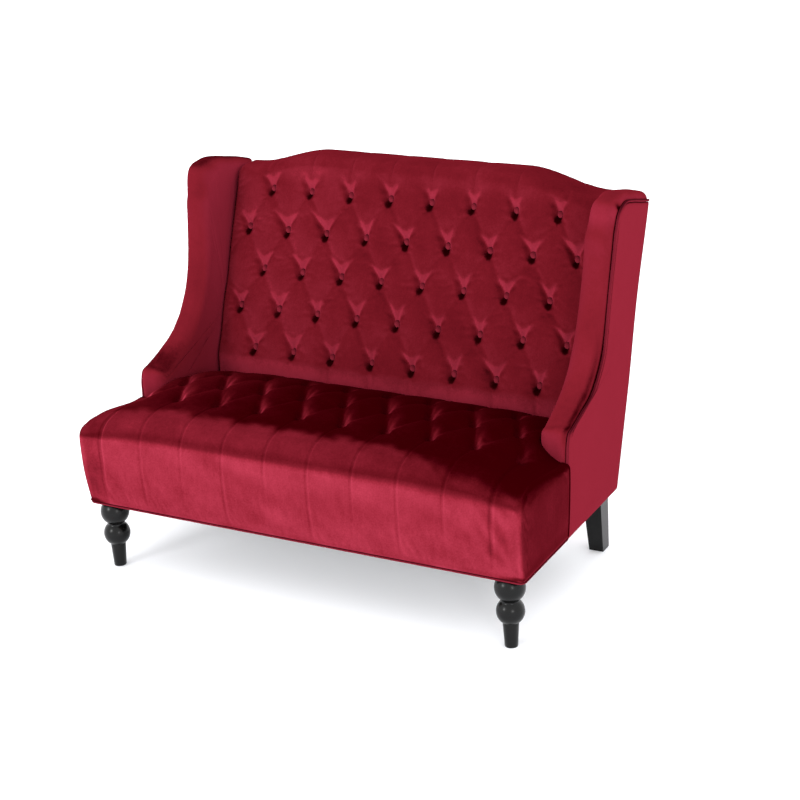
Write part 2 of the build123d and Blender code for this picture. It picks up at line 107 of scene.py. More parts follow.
def finish_node(name, material):
    """Gives a CAD node its finish."""
    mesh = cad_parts[name].data
    mesh.materials.clear()
    mesh.materials.append(material)


timber = {
    0: ["seat_front_rail", "seat_rear_rail", "back_top_rail", "back_lower_rail", "corner_blocks"],
    1: ["seat_centre_rail", "seat_left_rail", "seat_right_rail", "seat_left_return", "seat_right_return"],
    2: ["back_left_post", "back_right_post", "left_wing_frame", "right_wing_frame"],
}
for along, names in timber.items():
    board = sawn_pine(along)
    for name in names:
        finish_node(name, board)

# ---- webbing, lining cloths and steel --------------------------------------
# Elastic webbing is stretched over the seat and back frames and gives a little
# under the foam. Thin spunbond cloth closes the deck and the underside. Zinc
# plated bolts hold the wings and legs, and they are the CAD solids.


def woven(name, warp, weft, thread):
    """Plain woven cloth: two sets of threads, each thread mm wide. A wave of scale
    1 has 20 / tau bands in a metre."""
    material, shader = new_material(name)
    place = add_node(material, "TexCoord").outputs["Object"]
    bands = 1000.0 / thread / 2 * math.tau / 20.0
    over, under = (add_node(material, "TexWave", {"bands_direction": way, "Scale": bands, "Distortion": 0.6},
                            {"Vector": place}).outputs["Fac"] for way in "XY")
    cross = add_node(material, "Math", {"operation": "MULTIPLY"}, {0: over, 1: under})
    tone = add_node(material, "ValToRGB", {}, {"Fac": cross})
    ramp_stops(tone, [(0.0, weft), (1.0, warp)])
    bump = add_node(material, "Bump", {"Strength": 0.5, "Distance": 0.0005}, {"Height": cross})
    wire(material, shader, {"Base Color": tone.outputs["Color"], "Normal": bump.outputs["Normal"]})
    shader.inputs["Roughness"].default_value = 0.9
    return material


webbing = woven("Elastic webbing, woven jute and rubber", "a8926a", "6d5a3c", 3.0)
spunbond = woven("Black spunbond lining", "1d1d20", "121214", 4.0)


def flat_grid(name, x_lines, y_lines, shape, thick, material, open_at=()):
    """A thin strip or cloth: a grid on lines from 0 to 1, placed in mm by shape(),
    with its cells at open_at left out, and thickened along its normals."""
    bpy.ops.object.select_all(action="DESELECT")
    bpy.ops.mesh.primitive_grid_add(x_subdivisions=len(x_lines) - 1, y_subdivisions=len(y_lines) - 1,
                                    size=2.0)
    piece = bpy.context.object
    piece.name = name
    piece.data.name = name
    for corner in piece.data.vertices:
        a = x_lines[round((corner.co.x + 1) / 2 * (len(x_lines) - 1))]
        b = y_lines[round((corner.co.y + 1) / 2 * (len(y_lines) - 1))]
        corner.co = Vector(shape(a, b)) / 1000
    bpy.ops.object.mode_set(mode="EDIT")
    bpy.ops.mesh.select_mode(type="FACE")
    bpy.ops.mesh.select_all(action="DESELECT")
    bpy.ops.object.mode_set(mode="OBJECT")
    for face in piece.data.polygons:
        x, y = face.center.x * 1000, face.center.y * 1000
        face.select = any(abs(x - ox) < half and abs(y - oy) < half for ox, oy, half in open_at)
    bpy.ops.object.mode_set(mode="EDIT")
    bpy.ops.mesh.delete(type="FACE")
    bpy.ops.mesh.select_mode(type="VERT")
    bpy.ops.object.mode_set(mode="OBJECT")
    solid = piece.modifiers.new("thickness", "SOLIDIFY")
    solid.thickness = thick / 1000
    solid.offset = 0.0
    bpy.ops.object.modifier_apply(modifier="thickness")
    bpy.ops.object.shade_smooth_by_angle(angle=math.radians(40))
    piece.data.materials.append(material)
    return piece


def standing_for(piece, node, material=None):
    """Sets a piece in the place of a CAD node, in a material if it has none yet."""
    if material:
        piece.data.materials.append(material)
    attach(piece, "root")
    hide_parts(node)


def joined(pieces, name):
    """Several like pieces as one."""
    bpy.ops.object.select_all(action="DESELECT")
    for piece in pieces:
        piece.select_set(True)
    bpy.context.view_layer.objects.active = pieces[0]
    bpy.ops.object.join()
    bpy.context.object.name = name
    return bpy.context.object


def bow(t):
    """How far a stretched strap gives, from 0 at its ends to 1 at its middle."""
    return 4 * t * (1 - t)


def steps(count):
    return [i / count for i in range(count + 1)]


STRAP = 60
GIVE = 2.0
RAIL_FRONT, RAIL_DEPTH = -388, 468
RAIL_HALF = 579
BACK_LOW, BACK_RISE = 420, 405
SLOPE = 0.363


def lengthways(x):
    return lambda a, b: (x + STRAP * (a - 0.5), RAIL_FRONT + RAIL_DEPTH * b, 337.9 - GIVE * bow(b))


def crossways(y):
    return lambda a, b: (RAIL_HALF * (2 * a - 1), y + STRAP * (b - 0.5), 339.2 - GIVE * bow(a))


def upright(x):
    return lambda a, b: (x + STRAP * (a - 0.5), 39.6 + SLOPE * (BACK_LOW + BACK_RISE * b) + GIVE * bow(b),
                         BACK_LOW + BACK_RISE * b)


straps = [flat_grid("strap", steps(4), steps(40), lengthways(x), 1.4, webbing) for x in range(-450, 451, 150)]
standing_for(joined(straps, "seat_webbing_front_to_back"), "seat_webbing")
straps = [flat_grid("strap", steps(60), steps(4), crossways(y), 0.9, webbing) for y in (-270, -155, -40)]
standing_for(joined(straps, "seat_webbing_across"), "seat_cross_webbing")
straps = [flat_grid("strap", steps(4), steps(40), upright(x), 1.6, webbing) for x in range(-420, 421, 140)]
standing_for(joined(straps, "back_webbing_upright"), "back_webbing")

DECK_W, DECK_D = 1088, 468.5


def deck_shape(a, b):
    return (a - 0.5) * DECK_W, -390.5 + DECK_D * b, 340.1 - 1.5 * bow(a) * bow(b)


deck = flat_grid("seat_deck_lining", steps(40), steps(20), deck_shape, 0.6, spunbond)
standing_for(deck, "seat_deck_cloth")

# the cloth underneath has a notch at each leg plate and hangs a little in its middle
DUST_W, DUST_D = 1208, 574


def dust_shape(a, b):
    return (a - 0.5) * DUST_W, RAIL_FRONT + DUST_D * b, 189.3 - 4.0 * bow(a) * bow(b)


# the same cuts as shares of the width and the depth
side_cut, front_cut, rear_cut = 0.0464, 0.0732, 0.1114
x_lines = [0.0] + [side_cut + (1 - 2 * side_cut) * t for t in steps(36)] + [1.0]
y_lines = [0.0] + [front_cut + (1 - front_cut - rear_cut) * t for t in steps(20)] + [1.0]
notches = [(sx * 576, y, 30) for sx in (-1, 1) for y in (-367, 154)]
under = flat_grid("dust_cloth_under_seat", x_lines, y_lines, dust_shape, 0.8, spunbond, open_at=notches)
standing_for(under, "dust_cover")

zinc, zinc_shader = new_material("Zinc plated steel")
zinc_place = add_node(zinc, "TexCoord").outputs["Object"]
spangle = add_node(zinc, "TexVoronoi", {"Scale": 400.0}, {"Vector": zinc_place})
zinc_rough = add_node(zinc, "MapRange", {"To Min": 0.28, "To Max": 0.42},
                      {"Value": spangle.outputs["Distance"]})
wire(zinc, zinc_shader, {"Roughness": zinc_rough.outputs["Result"]})
zinc_shader.inputs["Base Color"].default_value = linear("b9bcc0")
zinc_shader.inputs["Metallic"].default_value = 1.0
for name in ("wing_bolts", "wing_bolt_washers", "leg_plates", "leg_bolts"):
    finish_node(name, zinc)

# ---- seat pad ---------------------------------------------------------------
# One foam pad in a velvet cover. It runs out to full width in front of the
# wings, its crown is tufted in diamonds, and pleats run from the front tufts
# over the roll and down the face to a turned hem.

PITCH = 123.8
HALF_PITCH = PITCH / 2
SIDEWAYS, UPWARD = 0.42, 0.88
PLANE_Y = -14.0
RAKE = math.atan(SLOPE)


def velvet(name, stops, speckle=1.0, sideways=SIDEWAYS):
    """Short pile cotton velvet. Its colour is painted by the way the cloth faces, as
    painted shade from a light at the front left and not above, and partly as the lie
    of the pile: cloth that leans to the floor or to the left is painted lighter and
    cloth that faces up or to the right is painted darker; stops give that as (lean,
    hex colour). A point attribute of the mesh adds painted highlights and painted
    shade at tufts, folds, grooves and seams. Soft marks are 90 mm and 14 mm wide with
    grains of 4 mm, and the pile is drawn in tufts of 1.2 mm."""
    material, shader = new_material(name)
    place = add_node(material, "TexCoord").outputs["Object"]
    facing = add_node(material, "NewGeometry").outputs["Normal"]
    # painted shade by facing: cloth that faces up or to the right is painted darker, partly the lie of the
    # pile
    lean = add_node(material, "VectorMath", {"operation": "DOT_PRODUCT", 1: (sideways, 0.0, UPWARD)},
                    {0: facing}).outputs["Value"]
    # painted highlights and painted shade kept on the mesh
    painted_light_and_pile = add_node(material, "Attribute", {"attribute_name": "nap_and_painted_light"}).outputs["Fac"]
    marks = add_node(material, "TexNoise", {"Scale": 1000 / 90, "Detail": 3.0}, {"Vector": place})
    strokes = add_node(material, "Mapping", {"Scale": (1000 / 14, 1000 / 14, 1000 / 34)}, {"Vector": place})
    streaks = add_node(material, "TexNoise", {"Scale": 1.0, "Detail": 3.0, "Roughness": 0.6},
                       {"Vector": strokes})
    grains = add_node(material, "TexNoise", {"Scale": 1000 / 4, "Detail": 2.0}, {"Vector": place})
    swayed = add_node(material, "Math", {"operation": "SUBTRACT"}, {0: lean, 1: painted_light_and_pile})
    for noise, strength in ((marks, 0.30), (streaks, 0.16), (grains, 0.26)):
        swayed = add_node(material, "Math", {"operation": "MULTIPLY_ADD", 1: strength * speckle},
                          {0: noise.outputs["Fac"], 2: swayed})
    centred = add_node(material, "Math", {"operation": "SUBTRACT", 1: 0.36 * speckle}, {0: swayed})
    level = add_node(material, "MapRange", {"From Min": -1.0, "From Max": 1.0}, {"Value": centred})
    tone = add_node(material, "ValToRGB", {}, {"Fac": level.outputs["Result"]})
    ramp_stops(tone, [((leaning + 1) / 2, colour) for leaning, colour in stops])
    pile = add_node(material, "TexNoise", {"Scale": 1000 / 1.2, "Detail": 2.0}, {"Vector": place})
    bump = add_node(material, "Bump", {"Strength": 0.15, "Distance": 0.0005},
                    {"Height": pile.outputs["Fac"]})
    wire(material, shader, {"Base Color": tone.outputs["Color"], "Normal": bump.outputs["Normal"]})
    shader.inputs["Roughness"].default_value = 0.9
    shader.inputs["Specular IOR Level"].default_value = 0.0
    shader.inputs["Sheen Weight"].default_value = 0.02
    shader.inputs["Sheen Roughness"].default_value = 0.3
    shader.inputs["Sheen Tint"].default_value = linear("e0203c")
    return material


def smooth(t):
    t = np.clip(t, 0.0, 1.0)
    return t * t * (3 - 2 * t)


def fold_to_tuft(u, v, well, length, slant, top_row, chance):
    """The pleat that falls to a tuft and the pocket under it, as depth in mm, at u mm
    over the tuft and v mm to its right. Also how far out on the pleat each place is,
    its half width and length, and two turns for the folds in it."""
    end = length * chance.uniform(0.84, 1.14) * (0.8 if top_row else 1.0)
    open_rate = (0.13 if slant else 0.44) * chance.uniform(0.6, 1.3)
    wall = (0.6 if top_row else 0.85) * chance.uniform(0.9, 1.1)
    wall = wall + (2.0 - wall) * (1 - smooth(u / 26.0))
    flare = np.maximum(u, 0)
    width = 3.0 + open_rate * (0.55 * flare + 0.0145 * flare ** 2)
    out = v / np.maximum(width, 3)
    horned = 1.0 if slant else 0.66 + 0.5 * np.minimum(out ** 2, 1.4)
    s = np.clip(u / (end * horned), 0, 1)
    pleat = well * (1 - s) ** (1.12 if slant else 1.4) - wall * np.maximum(np.abs(v) - width, 0)
    waves, start = chance.uniform(3.5, 6.5), chance.uniform(0, 6)
    tilt = chance.uniform(0, 6)
    folds = chance.uniform(0.6, 1.8) * np.cos(v / np.maximum(width, 1) * waves + start)
    pleat = np.where(pleat > 0, pleat + folds * 4 * s * (1 - s), 0.0) * smooth((u + 6.0) / 10.0)
    deep_end = chance.uniform(21.0, 25.0)
    r = np.sqrt(((v + 0.12 * np.minimum(u, 0)) / chance.uniform(11.0, 12.5)) ** 2
                + (u / np.where(u < 0, deep_end, 11.0)) ** 2)
    pocket = well * np.maximum(1 - r ** 3.2, 0)
    return np.maximum(pleat, pocket), out, width, end, (waves, start, tilt)


def painted_light_at_tuft(u, v, out, width, end, turns, slant, top_row, chance):
    """Painted highlight on the pleat over a tuft, with painted bright lines along
    its folds, and painted shadow in the pocket under it."""
    waves, start, tilt = turns
    edge = 15.0 if top_row else 5.0
    horns = 1.0
    if not top_row:
        horns = 0.5 + 0.75 * np.minimum(np.abs(out), 1.2) ** 1.4 + chance.uniform(-0.3, 0.3) * out
    top = end * (horns + 0.16 * np.cos(out * 2.6 + tilt))
    fading = smooth(u / 8.0) * (1 - smooth((u - 0.1 * top) / (0.95 * np.maximum(top, 4.0))))
    flat = smooth((width + 3 - np.abs(v)) / edge) * fading
    streak = 0.75 + 0.4 * np.minimum(out ** 2, 1.2) + 0.42 * np.cos(out * waves * 1.9 + start * 2)
    if slant:
        turn, away = np.arctan2(0.44 * u, v + 3.0), np.hypot(0.44 * u, v + 3.0)
        reached = (away - 12.0) / (52.0 * chance.uniform(0.75, 1.15))
        flat = smooth((v + 8.0) / 6.0) * (1 - smooth(reached)) * smooth((turn - 0.1) / 0.4) * smooth(u / 8.0)
        flat = flat * (0.62 + 0.2 * np.cos(turn * 9.0 + tilt))
        streak = 1.0
    size = chance.uniform(0.75, 1.25)
    ragged = 1.2 + 0.13 * np.cos(3 * np.arctan2(v, u + 12.0) * chance.integers(2, 4) + chance.uniform(0, 6))
    away = np.hypot((v + 3.0 + 0.15 * u) / 7.8, (u + 16.0) / 13.5) / size
    shade = smooth((ragged - away) / 0.65) * smooth((3.0 - u) / 5.0)
    fold = (0.1 if slant else 0.35) * np.exp(-((np.abs(v) - width) / 2.6) ** 2)
    fold = fold * smooth(u / 12.0) * (1 - smooth(u / end - 0.4))
    return flat * streak + fold, shade


def tufting(across, along, p, q, last, reach, bulge, well, length, seed, slant=0.0):
    """Depth of the cover under the crown of its puffs, in mm, and the painted light
    at its tufts: painted highlights on the pleats and painted shadow in the pockets
    under the tufts. across and along are mm on the cloth, p counts half pitches
    across and q counts rows from 0 to last; there is a tuft where p + q is odd, out
    to reach in even and odd rows. Shallow creases join the tufts, and run straight
    beyond the outer rows. slant turns the pleats towards the crease on their left."""
    chance = np.random.default_rng(seed)
    m, n = (p + q + 1) / 2, (q + 1 - p) / 2
    f, g = m - np.floor(m), n - np.floor(n)
    rise = np.maximum(16 * f * (1 - f) * g * (1 - g), 0) ** (0.5 if slant else 0.8)
    past = smooth(np.maximum(-q, q - last) / 0.8)
    odd = (p - 1) / 2
    e = odd - np.floor(odd)
    straight = np.maximum(4 * e * (1 - e), 0) ** (1.0 - 0.65 * past)
    rise = np.where((q < 0) | (q > last), straight, rise)
    depth = bulge * (1 - rise) * (1 - 0.4 * past)
    order = np.argsort(q[:, 0])
    rows = np.interp(np.arange(last + 1), q[order, 0], along[order, 0])
    nap_and_painted_light, dark, pits = np.zeros_like(p), np.zeros_like(p), np.zeros_like(p)
    for row in range(last + 1):
        top_row = row == last and not slant
        for tuft in range(-reach[row % 2], reach[row % 2] + 1, 2):
            u = along - rows[row]
            v = across - tuft * HALF_PITCH + chance.uniform(-0.12, 0.12) * u + slant * np.maximum(u, 0)
            pit, *pleat = fold_to_tuft(u, v, well, length, slant, top_row, chance)
            light, shade = painted_light_at_tuft(u, v, *pleat, slant, top_row, chance)
            # painted highlights on the pleats, cut out by the painted shadow of each pocket
            nap_and_painted_light = np.maximum(nap_and_painted_light, light * chance.uniform(0.5, 1.25)) * (1 - shade)
            # painted shadow in the pocket under each tuft
            dark = np.maximum(dark, shade * chance.uniform(0.3, 0.75))
            spread = np.hypot(u + 4, v)
            rays = np.cos(chance.integers(6, 9) * np.arctan2(v, u + 4) + chance.uniform(0, 6))
            pits = np.maximum(pits, pit) + 0.7 * np.exp(-((spread - 21.0) / 9.0) ** 2) * rays * (u < 6)
    depth = depth + pits
    for _ in range(2):
        depth[1:-1] = 0.5 * depth[1:-1] + 0.25 * (depth[:-2] + depth[2:])
        depth[:, 1:-1] = 0.5 * depth[:, 1:-1] + 0.25 * (depth[:, :-2] + depth[:, 2:])
    return depth, nap_and_painted_light - dark


def unevenness(a, b, seed, size=1.0):
    """Slow unevenness of stuffing, about size mm."""
    chance = np.random.default_rng(seed)
    out = np.zeros_like(a)
    for _ in range(9):
        wave, turn = chance.uniform(70, 190), chance.uniform(0, math.tau)
        out += np.sin((a * math.cos(turn) + b * math.sin(turn)) / wave * math.tau + chance.uniform(0, 6))
    return out * size / 3


def cover(name, points, nap_and_painted_light=None, held=None):
    """A fabric cover from a grid of points, rows by columns, in mm. Rows or
    columns that meet are joined, and open ends are closed. held is 1 where the
    cloth is tied, sewn or tacked down."""
    rows, columns = points.shape[:2]
    bpy.ops.object.select_all(action="DESELECT")
    bpy.ops.mesh.primitive_grid_add(x_subdivisions=columns - 1, y_subdivisions=rows - 1, size=2.0)
    piece = bpy.context.object
    piece.name = name
    piece.data.name = name
    place = np.zeros(rows * columns * 3, np.float32)
    piece.data.vertices.foreach_get("co", place)
    place = place.reshape(-1, 3)
    column = np.rint((place[:, 0] + 1) / 2 * (columns - 1)).astype(int)
    row = np.rint((place[:, 1] + 1) / 2 * (rows - 1)).astype(int)
    piece.data.vertices.foreach_set("co", (points[row, column] / 1000).astype(np.float32).ravel())
    # the painted light and shade of the velvet is kept as a point attribute
    for kind, values in (("nap_and_painted_light", nap_and_painted_light), ("held", held)):
        if values is not None:
            layer = piece.data.attributes.new(kind, "FLOAT", "POINT")
            layer.data.foreach_set("value", values[row, column].astype(np.float32))
    bpy.ops.object.mode_set(mode="EDIT")
    bpy.ops.mesh.select_all(action="SELECT")
    bpy.ops.mesh.remove_doubles(threshold=0.00002)
    bpy.ops.mesh.fill_holes(sides=0)
    bpy.ops.mesh.select_all(action="SELECT")
    bpy.ops.mesh.normals_make_consistent(inside=False)
    bpy.ops.object.mode_set(mode="OBJECT")
    bpy.ops.object.shade_smooth()
    return piece


def stuffed(piece, pressure=4.0, cap=1.6, frames=6):
    """Lets the stuffing swell a cover between the places where it is held, as a
    pressed cloth, and keeps each point within cap mm of where it was."""
    mesh = piece.data
    count = len(mesh.vertices)
    held = np.zeros(count, np.float32)
    mesh.attributes["held"].data.foreach_get("value", held)
    mesh.attributes.remove(mesh.attributes["held"])
    sewn = piece.vertex_groups.new(name="sewn")
    sewn.add([int(i) for i in np.nonzero(held > 0.5)[0]], 1.0, "REPLACE")
    cloth = piece.modifiers.new("stuffing", "CLOTH")
    cloth.settings.quality = 2
    cloth.settings.mass = 0.0008
    cloth.settings.tension_stiffness = cloth.settings.compression_stiffness = 12.0
    cloth.settings.shear_stiffness = 5.0
    cloth.settings.bending_stiffness = 2.0
    cloth.settings.use_pressure = True
    cloth.settings.uniform_pressure_force = pressure
    cloth.settings.vertex_group_mass = "sewn"
    cloth.settings.shrink_min = -0.005
    cloth.settings.effector_weights.gravity = 0.0
    cloth.collision_settings.use_collision = False
    for step in range(1, frames + 1):
        bpy.context.scene.frame_set(step)
    before, after = np.zeros(count * 3, np.float32), np.zeros(count * 3, np.float32)
    mesh.vertices.foreach_get("co", before)
    swollen = piece.evaluated_get(bpy.context.evaluated_depsgraph_get())
    swollen.data.vertices.foreach_get("co", after)
    piece.modifiers.remove(cloth)
    piece.vertex_groups.clear()
    bpy.context.scene.frame_set(1)
    move = (after - before).reshape(-1, 3)
    length = np.maximum(np.linalg.norm(move, axis=1, keepdims=True), 1e-9)
    move *= cap / 1000 * np.tanh(length * 1000 / cap) / length
    mesh.vertices.foreach_set("co", before + move.ravel())
    mesh.update()


HALF_W = 638.2
SEAT_HALF = 548.3
EAR_BACK = -141.6
HEM_Z = 194.0
FOOT_Z = 188.5
SEAT_DECK = 341.0
CROWN_END, CROWN_FRONT = 612.0, -352.0
TACK_X, TACK_Y = 609.5, -393.5
FRONT_TUFTS = -250.0
SEAT_ROW = 124.0


def seat_crown(x, y):
    """Height of the crown over its tufts. It drops at the ends and to the rear."""
    z = 452.0 - 52.0 * (np.abs(x) / 638.0) ** 7
    z = z - 20.0 * smooth((np.abs(x) - 540.0) / 72.0) * (1 - smooth((-y - 160.0) / 170.0))
    return z - 50.0 * (np.maximum(y + 125.0, 0) / 230.0) ** 2


def front_line(x):
    """(y, z) down the front: the roll, the face with its belly, the turned hem."""
    top = float(seat_crown(x, CROWN_FRONT))
    ends = float(smooth((abs(x) - 545.0) / 90.0)) * 11.0
    roll_foot = 368.0
    line = []
    for a in np.linspace(0, math.pi / 2, 17)[1:]:
        z = roll_foot + (top - roll_foot) * math.cos(a) ** 0.84
        line.append((CROWN_FRONT - 79.4 * math.sin(a) ** 0.9, z))
    for z in np.linspace(roll_foot, HEM_Z + 3, 24)[1:]:
        t = (roll_foot - z) / (roll_foot - HEM_Z)
        line.append((-431.4 - 0.4 * math.sin(t * 6) + 17.0 * t ** 2.4, z))
    hem = [(line[-1][0] + 2.5, HEM_Z + 0.4), (-403.5, HEM_Z - 0.5), (-402.0, FOOT_Z), (TACK_Y, FOOT_Z),
           (TACK_Y, SEAT_DECK)]
    return [(y + ends, z) for y, z in line] + hem


def side_line(y):
    """(x, z) down an end of the seat."""
    top = float(seat_crown(CROWN_END, y))
    roll_foot = 376.0
    line = []
    for a in np.linspace(0, math.pi / 2, 17)[1:]:
        z = roll_foot + (top - roll_foot) * math.cos(a) ** 0.6
        line.append((CROWN_END + 26.0 * math.sin(a) ** 0.7, z))
    for z in np.linspace(roll_foot, HEM_Z + 3, 24)[1:]:
        line.append((HALF_W - 6.0 * ((roll_foot - z) / (roll_foot - HEM_Z)) ** 1.8, z))
    return line + [(line[-1][0] - 2.5, HEM_Z + 0.4), (622.0, HEM_Z - 0.5), (620.5, FOOT_Z), (TACK_X, FOOT_Z),
                   (TACK_X, SEAT_DECK)]


seat_x = np.arange(-9, 9 + 1e-6, 1 / 16) * HALF_PITCH
past_tufts = np.arange(564, 613, 6)
seat_x = np.concatenate([-past_tufts[::-1], seat_x, past_tufts])
seat_y = np.linspace(112, CROWN_FRONT, 134)
fall = len(front_line(0.0))
columns = fall + len(seat_x) + fall
rows = len(seat_y) + fall
seat = np.zeros((rows, columns, 3))
sides = [side_line(max(min(y, EAR_BACK), CROWN_FRONT)) for y in seat_y]
fronts = [front_line(x) for x in seat_x]
corner_front, corner_side = front_line(CROWN_END), side_line(CROWN_FRONT)
for j in range(columns):
    past_j = max(fall - j, j - (fall + len(seat_x) - 1), 0)
    side = -1 if j < columns / 2 else 1
    at = min(max(j - fall, 0), len(seat_x) - 1)
    for i in range(rows):
        past_i = max(i - (len(seat_y) - 1), 0)
        y = seat_y[min(i, len(seat_y) - 1)]
        if past_j == 0 and past_i == 0:
            seat[i, j] = (seat_x[at], y, seat_crown(seat_x[at], y))
        elif past_i == 0:
            x, z = sides[i][past_j - 1]
            seat[i, j] = (side * x, y, z)
        elif past_j == 0:
            seat[i, j] = (seat_x[at], *fronts[at][past_i - 1])
        else:
            k = max(past_i, past_j)
            share = past_j / k / 2 if past_i == k else 1 - past_i / k / 2
            a = share * math.pi / 2
            fy, fz = corner_front[k - 1]
            sx, sz = corner_side[k - 1]
            cx = CROWN_END + (sx - CROWN_END) * math.sin(a) ** 0.3
            cy = CROWN_FRONT + (fy - CROWN_FRONT) * math.cos(a) ** 0.3
            seat[i, j] = (side * cx, cy, fz + (sz - fz) * share)

# tufts, the pleats that run from the front ones, and strained cloth at the corners
front_rows = np.maximum(np.arange(rows) - (len(seat_y) - 1), 0)
middle = seat[:, columns // 2]
run = np.concatenate([[0], np.cumsum(np.linalg.norm(np.diff(middle, axis=0), axis=1))])
along = (seat_y[0] - run)[:, None] * np.ones(columns)
across = seat[..., 0]
half_pitches, at_row = across / HALF_PITCH, np.maximum((along - FRONT_TUFTS) / SEAT_ROW, -6)
deep, nap_and_painted_light = tufting(across, along, half_pitches, at_row, 2, (9, 8), 7.0, 17.0, 62.0, 3, slant=0.3)
lower = np.clip((FRONT_TUFTS - along) / 400.0, 0, 1)
e = (half_pitches - 1) / 2
e = np.abs(e - np.rint(e)) * PITCH
wander = 1.0 + 0.25 * np.sin(half_pitches * 1.7)
pleat = 1.5 * np.exp(-(e / 2.8) ** 2) * smooth((-262.0 - along) / 20.0)
pleat = pleat * (1 - smooth((lower - 0.5) / (0.5 * wander)))
fading = deep * (1 - smooth((FRONT_TUFTS - along) / 60.0)) + pleat
deep = np.where(along < FRONT_TUFTS, fading, deep)
deep = deep + unevenness(across, along, 8, 0.8)
pull = np.clip((across - 470.0) / 120.0, 0, 1)
pull = pull * smooth((lower - 0.5) / 0.15) * (1 - smooth((lower - 0.88) / 0.1))
strain = (across - 638.0) * 0.80 + (along + 380.0) * 0.60
deep = deep + 1.0 * pull * np.sin(strain / 7.5 + 0.9 * np.sin(strain / 31.0) + np.sin(along / 60.0))
corner_fold = 2.4 * np.exp(-((np.abs(across) - 557.1) / 4.0) ** 2) * smooth((-270.0 - along) / 40.0)
deep = deep + corner_fold * (1 - smooth((lower - 0.8) / 0.2))
inside = np.zeros((rows, columns), bool)
inside[:, fall:fall + len(seat_x)] = True
keep = np.where(inside, smooth((CROWN_END - np.abs(across)) / 30.0), 0.0)
keep[front_rows > fall - 5] = 0.0
deep = deep * keep
step_i, step_j = np.gradient(seat, axis=0), np.gradient(seat, axis=1)
normal = np.cross(step_j, step_i)
normal /= np.maximum(np.linalg.norm(normal, axis=2, keepdims=True), 1e-9)
outward = (normal * (seat - np.array([0, 0, 330.0]))).sum(axis=2, keepdims=True)
normal *= np.where(outward < 0, -1.0, 1.0)
held = (deep > 11.0) | (front_rows[:, None] > fall - 7) | (seat[..., 1] > 40.0)
seat = seat - normal * deep[..., None]
across, back = seat[..., 0], seat[..., 1]
on_top = inside & (front_rows[:, None] == 0)
seat[..., 2] += np.where(on_top, 3.0 * smooth((600.0 - np.abs(across)) / 60.0), 0.0)

# painted light and shade on the seat, partly the lie of the pile: painted shade near black on the crown,
# painted highlights in the pleats, set tones on the roll and face.
# dark_to says how far forward the painted shade of the crown comes at places along the seat
dark_to = {-600: -325, -560: -335, -505: -346, -380: -320, -276: -336, 67: -331, 290: -338,
           360: -368, 440: -396, 520: -412, 620: -418}
below = np.clip(1 - (seat[..., 2] - HEM_Z) / 180.0, 0, 1)
scallop = 20.0 * (1 - np.clip(e / HALF_PITCH, 0, 1)) ** 1.6
edge_y = np.interp(across, list(dark_to), list(dark_to.values())) + 7.0 - scallop
edge_y = edge_y + unevenness(across * 2.4, along * 2.4, 21, 7.0)
roll = smooth((edge_y - along) / 52.0 + 0.25)
left_ear = smooth((-across - 570.0) / 26.0)
roll = np.maximum(roll, left_ear)
# painted light on the roll and face: each is painted to a set tone, the face lit and darker towards its foot,
# the roll in painted shade with a darker band and darker to the right
lean = SIDEWAYS * normal[..., 0] + UPWARD * normal[..., 2]
face_tone = -0.24 + 0.17 * smooth((lower - 0.22) / 0.6)
rightward = smooth((across + 100.0) / 560.0)
roll_tone = 0.20 + 0.12 * np.exp(-((normal[..., 2] - 0.45) / 0.13) ** 2) + 0.04 * left_ear + 0.14 * rightward
turned_over = smooth((normal[..., 2] - 0.18 + 0.10 * rightward) / (0.18 + 0.27 * rightward))
wanted = face_tone + (roll_tone - face_tone) * turned_over
# painted shade: the crown's highlights dimmed towards the back pad and to the right, its pocket shadows toned
# down, and the crown painted lighter on the left
dim = (1 - 0.35 * smooth((back + 190.0) / 170.0)) * (1 - 0.25 * smooth(across / 400.0))
crown_painted_light = np.where(nap_and_painted_light > 0, nap_and_painted_light * 0.55 * dim, nap_and_painted_light * 0.2) + 0.20 * smooth((-across - 60.0) / 380.0)
nap_and_painted_light = crown_painted_light * (1 - roll) + roll * (lean - wanted)
# darker down the left front corner, painted shade where it turns from the light, and darker over the top of
# the right end
nap_and_painted_light = nap_and_painted_light - 0.12 * smooth((-across - 556.0) / 8.0) * smooth((lower - 0.3) / 0.2)
nap_and_painted_light = nap_and_painted_light - 0.34 * smooth((across - 600.0) / 12.0) * (1 - smooth((lower - 0.3) / 0.1))
# the ends: the left one painted to the tones of the face and roll, with painted shade where the seat runs
# behind the wings' front edge, and darker towards the bottom
ends = np.where(across < 0, lean - wanted, 0.07)
ends = ends - 1.2 * smooth((back + 151.0) / 5.0) - 0.12 * smooth((below - 0.75) / 0.2)
nap_and_painted_light = np.where(inside, nap_and_painted_light, ends)

# behind the wings' front edge the seat is only as wide as the gap between them. The
# padding of a wing turns there from its inner face, at BOARD, to its band, at ROUND_X
BOARD, ROUND_X, TURN = 550.5, 582.0, 27.0
for j in range(columns):
    at = seat_x[min(max(j - fall, 0), len(seat_x) - 1)]
    if abs(at) <= SEAT_HALF and inside[0, j]:
        seat[0, j] = (seat[0, j, 0], 108.0, SEAT_DECK)
        continue
    side = -1 if j < columns / 2 else 1
    x = min(max(abs(at) if inside[0, j] else CROWN_END, SEAT_HALF), TACK_X)
    tuck = 0.0
    if x < ROUND_X:
        tuck = TURN * (1 - math.sqrt(max(1 - min((ROUND_X - x) / (ROUND_X - BOARD), 1.0) ** 2, 0)))
    back_y = EAR_BACK + tuck
    ear = int(np.argmin(np.abs(seat_y - back_y - 2.0)))
    rest = seat[ear, j].copy()
    rest[1] = back_y
    goal = np.array([side * x, back_y, SEAT_DECK])
    for i in range(ear + 1):
        seat[i, j] = rest + (goal - rest) * min((ear - i) / 6.0, 1.0)
